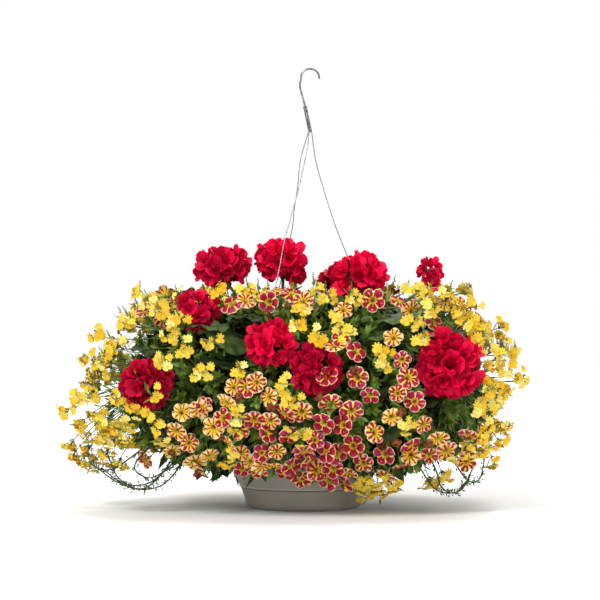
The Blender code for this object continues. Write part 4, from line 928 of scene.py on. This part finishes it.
def make_hanger():
    """The hook: a round bend over a leaning shank. Each leg winds round the shank in a close coil, then
    runs in a slight curve to its rim hole, and its end is bent over under the rim."""
    bend = [
        HOOK_CENTRE + HOOK_RADIUS * np.array((math.cos(t), 0.0, math.sin(t)))
        for t in np.radians(np.linspace(*HOOK_SWEEP, 15))
    ]
    corners = np.array((*bend, HOOK_BELLY, HOOK_WAIST, WRAP_TOP, SHANK_END)) * MM
    grown = Growth()
    grown.tubes(rounded_line(corners, 4)[None], HOOK_WIRE, 0.5, 0, sides=14)
    grown.done("hook_wire", (ZINC,), "galvanised_wire", "hanger_hook")
    axis = norm(SHANK_END - WRAP_TOP)
    side = norm(np.cross(axis, (0.0, 1.0, 0.0)))
    for name, (azimuth, way) in LEG_ROUTES.items():
        x, y = math.cos(math.radians(azimuth)), math.sin(math.radians(azimuth))
        t = np.linspace(0, 1, 113)[:, None]
        turn = math.atan2(y, x) - math.tau * WRAP_TURNS * (1 - t)
        out = side * np.cos(turn) + np.array((0.0, 1.0, 0.0)) * np.sin(turn)
        wrap = WRAP_TOP + axis * (WRAP_START + WRAP_LENGTH * t) + out * WRAP_RADIUS
        hole = np.array((HOLE_RING * x, HOLE_RING * y, OVER_RIM))
        run = rounded_line(np.array((wrap[-1], *way, hole)), 5)[1:-1]
        under = np.array((HOLE_RING * x, HOLE_RING * y, UNDER_RIM))
        along = np.array((-y, x, 0.0))
        foot = [hole, under, under + along * 1.5 - (0, 0, 1.2), under + along * 4, under + along * 7]
        grown = Growth()
        grown.tubes((np.vstack((wrap, run, foot)) * MM)[None], LEG_WIRE, 0.5, 0, sides=8)
        grown.done("leg_wire_" + name, (ZINC,), "galvanised_wire", "hanger_wire_" + name)


# Geraniums


def towards_crown(middle):
    """The way from a head's middle down to its plant."""
    way = np.array((middle[0] * -0.8, middle[1] * -0.8, HEAD_CENTRE - middle[2]))
    return norm(way + (0, 0, -0.05))


# Width, bend and ruffle of the petals
OUTER_PETALS = ((0.95, 0.26, 0.09), (0.78, 0.10, 0.13), (0.88, 0.38, 0.07))
CUPPED_PETAL = (0.95, 0.55, 0.10)


def make_heads(rng):
    """Each head: double florets spread over an ellipsoid, each of five broad outer petals and five
    smaller inner ones that cup round its middle, on green stalks that meet at the neck."""
    outer = [geranium_petal(*form) for form in OUTER_PETALS]
    inner = geranium_petal(*CUPPED_PETAL)
    for name, middle, radii, bright in head_places():
        size = float((radii[0] * radii[0] * radii[2]) ** (1 / 3))
        count = int(9 + 15 * (size / (30 * MM)) ** 2)
        down = towards_crown(middle)
        aims = spread_over_ball(count, -0.78, 0.985)
        aims = norm(aims + rng.normal(0, 0.10, aims.shape))
        aims = aims @ facing(-down[None], np.array([rng.uniform(0, 6)]))[0]
        wave = 3.1 * aims[:, :1] + 5 * middle[0] / MM
        lumps = 0.12 * np.sin(wave) * np.cos(2.7 * aims[:, 1:2] + middle[2] / MM)
        loose = 0.14 * (rng.random((count, 1)) < 0.15)
        roots = middle + aims * radii * (rng.uniform(0.42, 0.68, (count, 1)) + lumps + loose)
        length = 0.49 * size * rng.uniform(0.9, 1.15, count)
        grown = Growth()
        for k in range(5):
            turn = math.tau * k / 5 + rng.uniform(-0.25, 0.25, count)
            spin = facing(aims, turn)
            lift = rng.uniform(0.25, 0.75, (count, 1))
            along = norm(spin[:, 0] + lift * aims + rng.normal(0, 0.12, aims.shape))
            # Each head's brightness, painted light and shade, scales its petals' tone
            tones = bright * rng.uniform(0.75, 1.35, count)
            spans = length * rng.uniform(0.80, 1.22, count)
            grown.place(outer[k % 3], roots, bases(along, aims), spans, tones, 0)
            turn = turn + math.pi / 5
            along = norm(facing(aims, turn)[:, 0] + rng.uniform(0.9, 1.8, (count, 1)) * aims)
            # The inner petals take 0.8 of the tone: painted shade in the cupped middle of each floret
            grown.place(inner, roots + aims * 0.1 * size, bases(along, aims), 0.62 * length, 0.8 * tones, 0)
        neck = middle + down * 0.95 * radii[2]
        halfway = neck + (roots - neck) * 0.4 + down * -3 * MM
        stalks = bent((np.broadcast_to(neck, roots.shape), halfway, roots), 4)
        grown.tubes(stalks, 0.9 * MM, 0.5, 1, sides=4)
        grown.done(name + "_bloom", (RED, STEM), "geranium_red", name)


# Leaves that show between the flowers: pixels of the front view, and how deep in the mound each lies
SHOWN_LEAVES = (
    (236, 338, 0.70), (222, 362, 0.72), (252, 318, 0.66), (262, 380, 0.78), (300, 345, 0.62),
    (388, 318, 0.74), (372, 330, 0.66), (214, 326, 0.7), (330, 300, 0.5), (240, 352, 0.58),
)


def make_geranium_leaves(rng):
    """Broad round leaves on long stalks, spread over the upper mound by the golden angle, and the stalks
    of the red heads, from three crowns."""
    aims = spread_over_ball(ROUND_LEAVES, -0.30, 0.93)
    aims = aims[rng.permutation(len(aims))]
    deep = rng.uniform(0.78, 0.98, (len(aims), 1))
    tips = np.array((0, 0, MOUND_MIDDLE)) + aims * ROUND_LEAF_REACH * deep
    tips = np.vstack((tips, [on_mound(px, py, shell) for px, py, shell in SHOWN_LEAVES]))
    normals = norm(outwards(tips) + (0, 0, 0.55) + rng.normal(0, 0.22, tips.shape))
    flat = norm(tips * (1, 1, 0) + rng.normal(0, 0.3, tips.shape) * (1, 1, 0) * 0.2)
    frames = bases(-flat, normals)
    turned = beside(-frames[:, 1], frames[:, 0], frames[:, 2])
    sizes = rng.uniform(*ROUND_LEAF_SIZES, len(tips)) * MM
    # Lower leaves get less tone, down to half: painted shade under the mound's top
    tones = rng.uniform(0.15, 0.7, len(tips)) * np.interp(tips[:, 2], (0.12, 0.27), (0.5, 1.0))
    home = sector(tips, 3, 30.0)
    necks = np.array([
        middle + towards_crown(middle) * 0.9 * radii[2] for _, middle, radii, _ in head_places()
    ])
    head_home = sector(np.array([middle for _, middle, _, _ in head_places()]), 3, 30.0)
    for k in range(3):
        node = "geranium_%d" % (k + 1)
        azimuth = math.radians(90 + 120 * k)
        crown = np.array((CROWN_RING * math.cos(azimuth), CROWN_RING * math.sin(azimuth), CROWN_HEIGHT)) * MM
        grown = Growth()
        mine, frames, size = tips[home == k], turned[home == k], sizes[home == k]
        feet = mine + frames[:, 0] * -0.05 * size[:, None]
        middles = mine + frames[:, 0] * 0.45 * size[:, None]
        grown.place(round_leaf(), middles, frames, size, tones[home == k], 1)
        for ends, shake, lift, count, radius, tone, sides in (
            (feet, 6, 22 * MM, 9, 1.3 * MM, 0.6, 6),
            (necks[head_home == k], 5, 30 * MM, 12, 2.0 * MM, 0.75, 7),
        ):
            starts = crown + rng.uniform(-shake, shake, ends.shape) * (1, 1, 0) * MM
            rise = (starts + ends) / 2 + (0, 0, lift)
            grown.tubes(bent((starts, rise, ends), count), radius, tone, 0, sides=sides)
        grown.done(node + "_leaves", (STEM, ROUND_LEAF), "geranium_leaf", node)


# Calibrachoas


def foliage_tips(rng, count):
    """Where leafy shoots end: the golden angle over a rounded box-like mound, a little in and out."""
    aims = spread_over_ball(count, -0.93, 0.97)
    z = aims[:, 2]
    level = (1 - np.abs(z) ** 2.5) ** (1 / 2.5)
    flat = norm(aims * (1, 1, 0))
    reach = rng.uniform(0.80, 1.02, count) + 0.12 * (rng.random(count) < 0.15)
    x = flat[:, 0] * level * 232 * MM * reach
    y = flat[:, 1] * level * 200 * MM * reach
    height = np.where(z > 0, 130 * MM, 112 * MM)
    return beside(x, y, MOUND_MIDDLE + z * height * (0.6 + 0.4 * reach))


def in_pot(points):
    """Whether points lie in or against the pot, or under the floor."""
    radius = np.hypot(points[:, 0], points[:, 1])
    wall = np.interp(points[:, 2], (0, 28 * MM, 152 * MM), (76 * MM, 85 * MM, 134 * MM))
    return ((radius < wall) & (points[:, 2] < 153 * MM)) | (points[:, 2] < 3 * MM)


# How pale the striped blooms are across the front view: pixels and tones
PALE_PX = (170, 235, 300, 360, 430, 470)
PALE_TONES = (0.60, 0.40, 0.08, 0.22, 0.38, 0.4)


def make_calibrachoas(rng):
    """Arching leafy shoots, their leaves set by the golden angle and smaller to the tip, dark leaves
    behind them whose dark tone is painted shade deep in the mound, and the striped trumpets on short stalks."""
    tips = foliage_tips(rng, SHOOTS)
    shown_x, shown_y = (seen_at(tips) - HOLLOW_PX[:2]).T
    hollow = (np.hypot(shown_x / HOLLOW_PX[2], shown_y / HOLLOW_PX[3]) < 1) & (tips[:, 1] < 0)
    tips = tips[(tips[:, 2] > 24 * MM) & ~hollow]
    flat = tips * (1, 1, 0)
    starts = flat * 0.4 + (0, 0, 148 * MM)
    over = flat * 0.8 + (np.maximum(tips[:, 2:3], 165 * MM) + 26 * MM) * (0, 0, 1)
    near = tips - outwards(tips) * rng.uniform(20, 50, (len(tips), 1)) * MM - np.array((0, 0, 6)) * MM
    shoots = bent((starts, over, near, tips), SHOOT_POINTS)
    seen = seen_at(tips * np.where(tips[:, 1:2] > 0, (-1, 1, 1), (1, 1, 1)))
    away = np.linalg.norm(seen[:, None] - np.array(LIGHTER_LEAF_PX), axis=2).min(axis=1)
    lighter = 0.3 * np.exp(-((away / LIGHTER_LEAF_SPREAD) ** 2))
    home = sector(tips, BUSHES)
    blooms = np.vstack((both_sides(STRIPED_PX, 0.985, 0.8, rng), round_the_ends()[0][::2]))
    bloom_home = sector(blooms, BUSHES)
    bloom_out = outwards(blooms)
    shaken = np.clip(rng.normal(0, 0.5, blooms.shape), -0.75, 0.75)
    normals = norm(bloom_out + turned_out(blooms) + shaken)
    pale = np.interp(seen_at(blooms)[:, 0], PALE_PX, PALE_TONES)
    bloom_tones = np.clip(pale + rng.uniform(-0.35, 0.5, len(blooms)), 0, 0.78)
    bloom_sizes = rng.uniform(*BLOOM_SIZES, len(blooms)) * MM
    wilted = both_sides(WILTED_PX, 1.0, 1.0, rng)
    wilted_home = sector(wilted, BUSHES)
    drooped = norm(outwards(wilted) + rng.normal(0, 0.5, wilted.shape) - (0, 0, 0.8))
    turned = facing(normals, rng.uniform(0, 6, len(blooms)))
    # Leaves deep in the mound: their low tone is painted shade
    dark = norm(rng.normal(size=(DARK_LEAVES, 3))) * rng.uniform(0.45, 0.9, (DARK_LEAVES, 1)) * DARK_REACH
    dark = dark + (0, 0, 148 * MM)
    dark = dark[~in_pot(dark)]
    dark_home = sector(dark, BUSHES)
    leaves = [lance_leaf(0.05, 0.10), lance_leaf(0.08, 0.22), lance_leaf(0.03, -0.05)]
    for k in range(BUSHES):
        grown = Growth()
        mine = shoots[home == k]
        ahead = norm(np.gradient(mine, axis=1))
        bright = rng.uniform(-0.12, 0.2, len(mine)) + lighter[home == k]
        grown.tubes(mine[:, ::3], np.linspace(1.3, 0.6, 8) * MM, 0.4, STEM_AT, sides=4)
        points = [*range(FIRST_LEAF, PAIRED_FROM), *np.repeat(range(PAIRED_FROM, SHOOT_POINTS), 2)]
        for order, at in enumerate(points, 1):
            axes = facing(ahead[:, at], GOLDEN * order + rng.uniform(0, 6, len(mine)))
            share = (at - FIRST_LEAF) / (SHOOT_POINTS - 1 - FIRST_LEAF)
            along = norm(axes[:, 0] * (0.95 - 0.35 * share) + ahead[:, at] * (0.45 + 0.5 * share)
                         + rng.normal(0, 0.15, (len(mine), 3)))
            up = norm(ahead[:, at] + outwards(mine[:, at]) * 0.7 + (0, 0, 0.35))
            size = (25 - 12 * share ** 2) * rng.uniform(0.75, 1.2, len(mine)) * MM
            roots = mine[:, at]
            free = ~in_pot(roots + along * size[:, None])
            tones = -0.06 + 0.55 * share ** 2 + rng.uniform(0, 0.3, len(mine)) + bright
            frames = bases(along, up)
            grown.place(leaves[order % 3], roots[free], frames[free], size[free], tones[free], LEAF_AT)
        # Painted shade: the leaves behind get a low tone
        behind = dark[dark_home == k]
        along = norm(rng.normal(size=behind.shape) + outwards(behind) * 0.6)
        up = outwards(behind) + rng.normal(0, 0.4, behind.shape)
        grown.place(leaves[0], behind, bases(along, up), rng.uniform(30, 44, len(behind)) * MM,
                    rng.uniform(-0.1, 0.14, len(behind)), LEAF_AT)
        here = bloom_home == k
        middles, frames, size = blooms[here], turned[here], bloom_sizes[here]
        for first, bend in enumerate((0.10, 0.24)):
            grown.place(trumpet(bend), middles[first::2], frames[first::2], size[first::2],
                        bloom_tones[here][first::2], STRIPED_AT)
        grown.place(funnel(), middles, frames, size, 0.9, LEAF_AT)
        gone = wilted_home == k
        limp = facing(drooped[gone], np.zeros(gone.sum()))
        grown.place(trumpet(0.9), wilted[gone], limp, WILTED_SIZE, -0.8, STRIPED_AT)
        back = middles - normals[here] * size[:, None] * 1.05
        joint = back - normals[here] * 14 * MM - bloom_out[here] * 12 * MM
        grown.tubes(bent((back, back - normals[here] * 8 * MM, joint), 5), 0.7 * MM, 0.7, STEM_AT, sides=4)
        node = "calibrachoa_%02d" % (k + 1)
        grown.done(node + "_plant", PLANT_FINISHES[:3], "calibrachoa", node)


# Nemesias


def swung(frames, angle):
    """Frames turned about their own z by an angle."""
    c, s = np.cos(angle), np.sin(angle)
    x, y, z = frames[:, 0], frames[:, 1], frames[:, 2]
    return beside(x * c + y * s, y * c - x * s, z)


def make_nemesias(rng):
    """Wiry stems from inner crowns out to each bunch: five to seven lipped florets round the stem's end,
    spikes of green buds at the outline, narrow leaves along it, and the bare loops with their pods."""
    near_ends, far_ends = round_the_ends()
    ends = np.vstack((both_sides(YELLOW_PX, 1.0, 0.7, rng), far_ends[::2], near_ends[1::2]))
    nodes = sorted(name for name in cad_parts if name.startswith("nemesia_"))
    home = sector(ends, len(nodes))
    out = outwards(ends)
    starts = norm(ends * (1, 1, 0)) * 66 * MM + (0, 0, 140 * MM)
    rise = ends * (0.45, 0.45, 0) + (np.maximum(ends[:, 2:3], 170 * MM) + 34 * MM) * (0, 0, 1)
    high = np.clip((ends[:, 2:3] - 120 * MM) / (60 * MM), 0, 1)
    climb = norm(out * (1, 1, 0.3) + (0, 0, 0.9))
    near = ends - 38 * MM * (high * climb + (1 - high) * (out - (0, 0, 0.35)))
    stems = bent((starts, rise, near, ends), WIRY_POINTS)
    narrow, floret = narrow_leaf(), lipped_floret()
    loops = [rounded_line(np.array(points) * MM, 8) for points in LOOPS]
    loop_home = sector(np.array([line[len(line) // 2] for line in loops]), len(nodes))
    for k, node in enumerate(nodes):
        grown = Growth()
        here = home == k
        mine, tips, aims = stems[here], ends[here], out[here]
        n = len(mine)
        grown.tubes(mine, np.linspace(1.1, 0.55, WIRY_POINTS) * MM, 0.35, STEM_AT)
        ahead = norm(np.gradient(mine, axis=1))
        for at in range(5, WIRY_POINTS):
            axes = facing(ahead[:, at], GOLDEN * at + rng.uniform(0, 6, n))
            size = rng.uniform(11, 19, n) * MM
            frames = bases(axes[:, 0] + ahead[:, at] * 0.8, ahead[:, at] + (0, 0, 0.5))
            grown.place(narrow, mine[:, at], frames, size, rng.uniform(0.2, 0.7, n), LEAF_AT)
        side = np.abs(tips[:, 0]) > 120 * MM
        for j in range(FLORETS):
            axes = facing(aims, GOLDEN * j + rng.uniform(0, 6, n))
            apart = (2 + 11 * math.sqrt(j / (FLORETS - 1))) * rng.uniform(0.8, 1.2, (n, 1))
            offset = axes[:, 0] * apart * MM
            place = tips + offset + aims * rng.uniform(-4, 5, (n, 1)) * MM
            keep = (side | (j < 5)) & outside_heads(place, 3 * MM)
            view = turned_out(tips) * np.where(tips[:, 2:3] < 60 * MM, 2.4, 1.0)
            normals = norm(aims + view + 0.6 * norm(offset) + rng.normal(0, 0.35, (n, 3)))
            upright = bases(np.cross(normals, np.cross((0, 0, 1.0), normals)) + 1e-6, normals)
            frames = swung(upright, rng.normal(0, 0.35, (n, 1)))
            size = rng.uniform(*FLORET_SIZES, n) * MM
            tones = rng.uniform(0.1, 1.0, n)
            grown.place(floret, place[keep], frames[keep], size[keep], tones[keep], YELLOW_AT)
            stalk = bent((tips - aims * 9 * MM, place - normals * 5 * MM, place - normals * 1 * MM), 4)
            grown.tubes(stalk[keep], 0.45 * MM, 0.6, STEM_AT, sides=4)
        edge = (side | (tips[:, 2] > 262 * MM)) & (tips[:, 2] > 110 * MM) & (rng.random(n) < 0.4)
        edge &= np.abs(tips[:, 0]) < 250 * MM
        rise = norm(aims * (1, 0.2, 0.4) + (0, 0, 0.9))[edge]
        foot = tips[edge] + rise * 4 * MM
        spikes = foot[:, None] + rise[:, None] * np.linspace(0, 15, 7)[:, None] * MM
        grown.tubes(spikes, 0.35 * MM, 0.35, STEM_AT, sides=4)
        for j in range(1, 7):
            axes = facing(rise, GOLDEN * j + rng.uniform(0, 6, len(foot)))
            buds = spikes[:, j] + axes[:, 0] * (1.6 - 0.2 * j) * MM
            grown.place(bead(), buds, axes, (2.0 - 0.2 * j) * MM, 0.35, LEAF_AT)
        for line in (line for line, where in zip(loops, loop_home) if where == k):
            grown.tubes(line[None], np.linspace(1.1, 0.8, len(line)) * MM, 0.0, STEM_AT, sides=6)
            ahead = norm(np.gradient(line, axis=0))
            for step in range(3):
                at = np.arange(6 + step, len(line), 3)
                m = len(at)
                axes = facing(ahead[at], GOLDEN * at + rng.uniform(0, 1, m))
                along = norm(axes[:, 0] + ahead[at] * 0.9)
                size = rng.uniform(5, 11, m) * MM
                grown.place(narrow, line[at], bases(along, ahead[at]), size, rng.uniform(0, 0.15, m), LEAF_AT)
                pods = line[at] + axes[:, 0] * rng.uniform(3, 6, (m, 1)) * MM
                long = facing(along, 0 * size) * np.array((0.55, 0.55, 1.3))[:, None]
                grown.place(bead(), pods, long, rng.uniform(1.3, 2.2, m) * MM, 0.05, LEAF_AT)
                stalk = beside(line[at], 0.5 * (line[at] + pods) - (0, 0, 0.4 * MM), pods)
                grown.tubes(stalk, 0.3 * MM, 0.1, STEM_AT, sides=4)
        grown.done(node + "_sprays", PLANT_FINISHES, "nemesia", node)


# Floor, light and camera


def make_stage():
    """A pale round floor under a white sky, soft broad lights from the front, above and behind, and the
    camera at the photo's place."""
    grown = Growth()
    grown.take(*plain_disc(64, 4, FLOOR_RADIUS))
    paper = Finish("pale_floor", 0.9)
    colour, _ = paper.mottled((0.93, 0.93, 0.93), (0.96, 0.96, 0.96), 0.5, 3.0, 0.6)
    grown.build("floor_sheet", (paper.painted(colour),))
    scene = bpy.context.scene
    world = bpy.data.worlds.new("soft_white")
    scene.world = world
    world.use_nodes = True
    sky = Shade(world.node_tree)
    background = world.node_tree.nodes["Background"]
    background.inputs["Color"].default_value = (1.0, 1.0, 1.0, 1.0)
    seen = sky.node("ShaderNodeLightPath").outputs["Is Camera Ray"]
    strength = sky.math("MULTIPLY_ADD", seen, 1.0 - SKY_LIGHT, SKY_LIGHT)
    world.node_tree.links.new(strength, background.inputs["Strength"])
    for name, place, spread, power in LAMPS:
        lamp = bpy.data.lights.new(name, "SUN")
        lamp.angle = spread
        lamp.energy = power
        light = bpy.data.objects.new(name, lamp)
        light.location = place
        aim = -np.array(place)
        light.rotation_euler = (
            math.acos(-aim[2] / np.linalg.norm(aim)), 0.0, math.atan2(aim[1], aim[0]) - math.pi / 2,
        )
        scene.collection.objects.link(light)
    scene.view_settings.view_transform = "Standard"
    view = bpy.data.cameras.new("view")
    view.sensor_width = SENSOR
    view.lens = LENS
    view.clip_end = 20.0
    camera = bpy.data.objects.new("view", view)
    camera.location = EYE
    camera.rotation_euler = (math.pi / 2, 0.0, 0.0)
    scene.collection.objects.link(camera)
    bpy.context.scene.camera = camera


make_stage()
make_pot()
make_soil(np.random.default_rng(3))
make_hanger()
make_heads(np.random.default_rng(5))
make_geranium_leaves(np.random.default_rng(11))
make_calibrachoas(np.random.default_rng(17))
make_nemesias(np.random.default_rng(23))
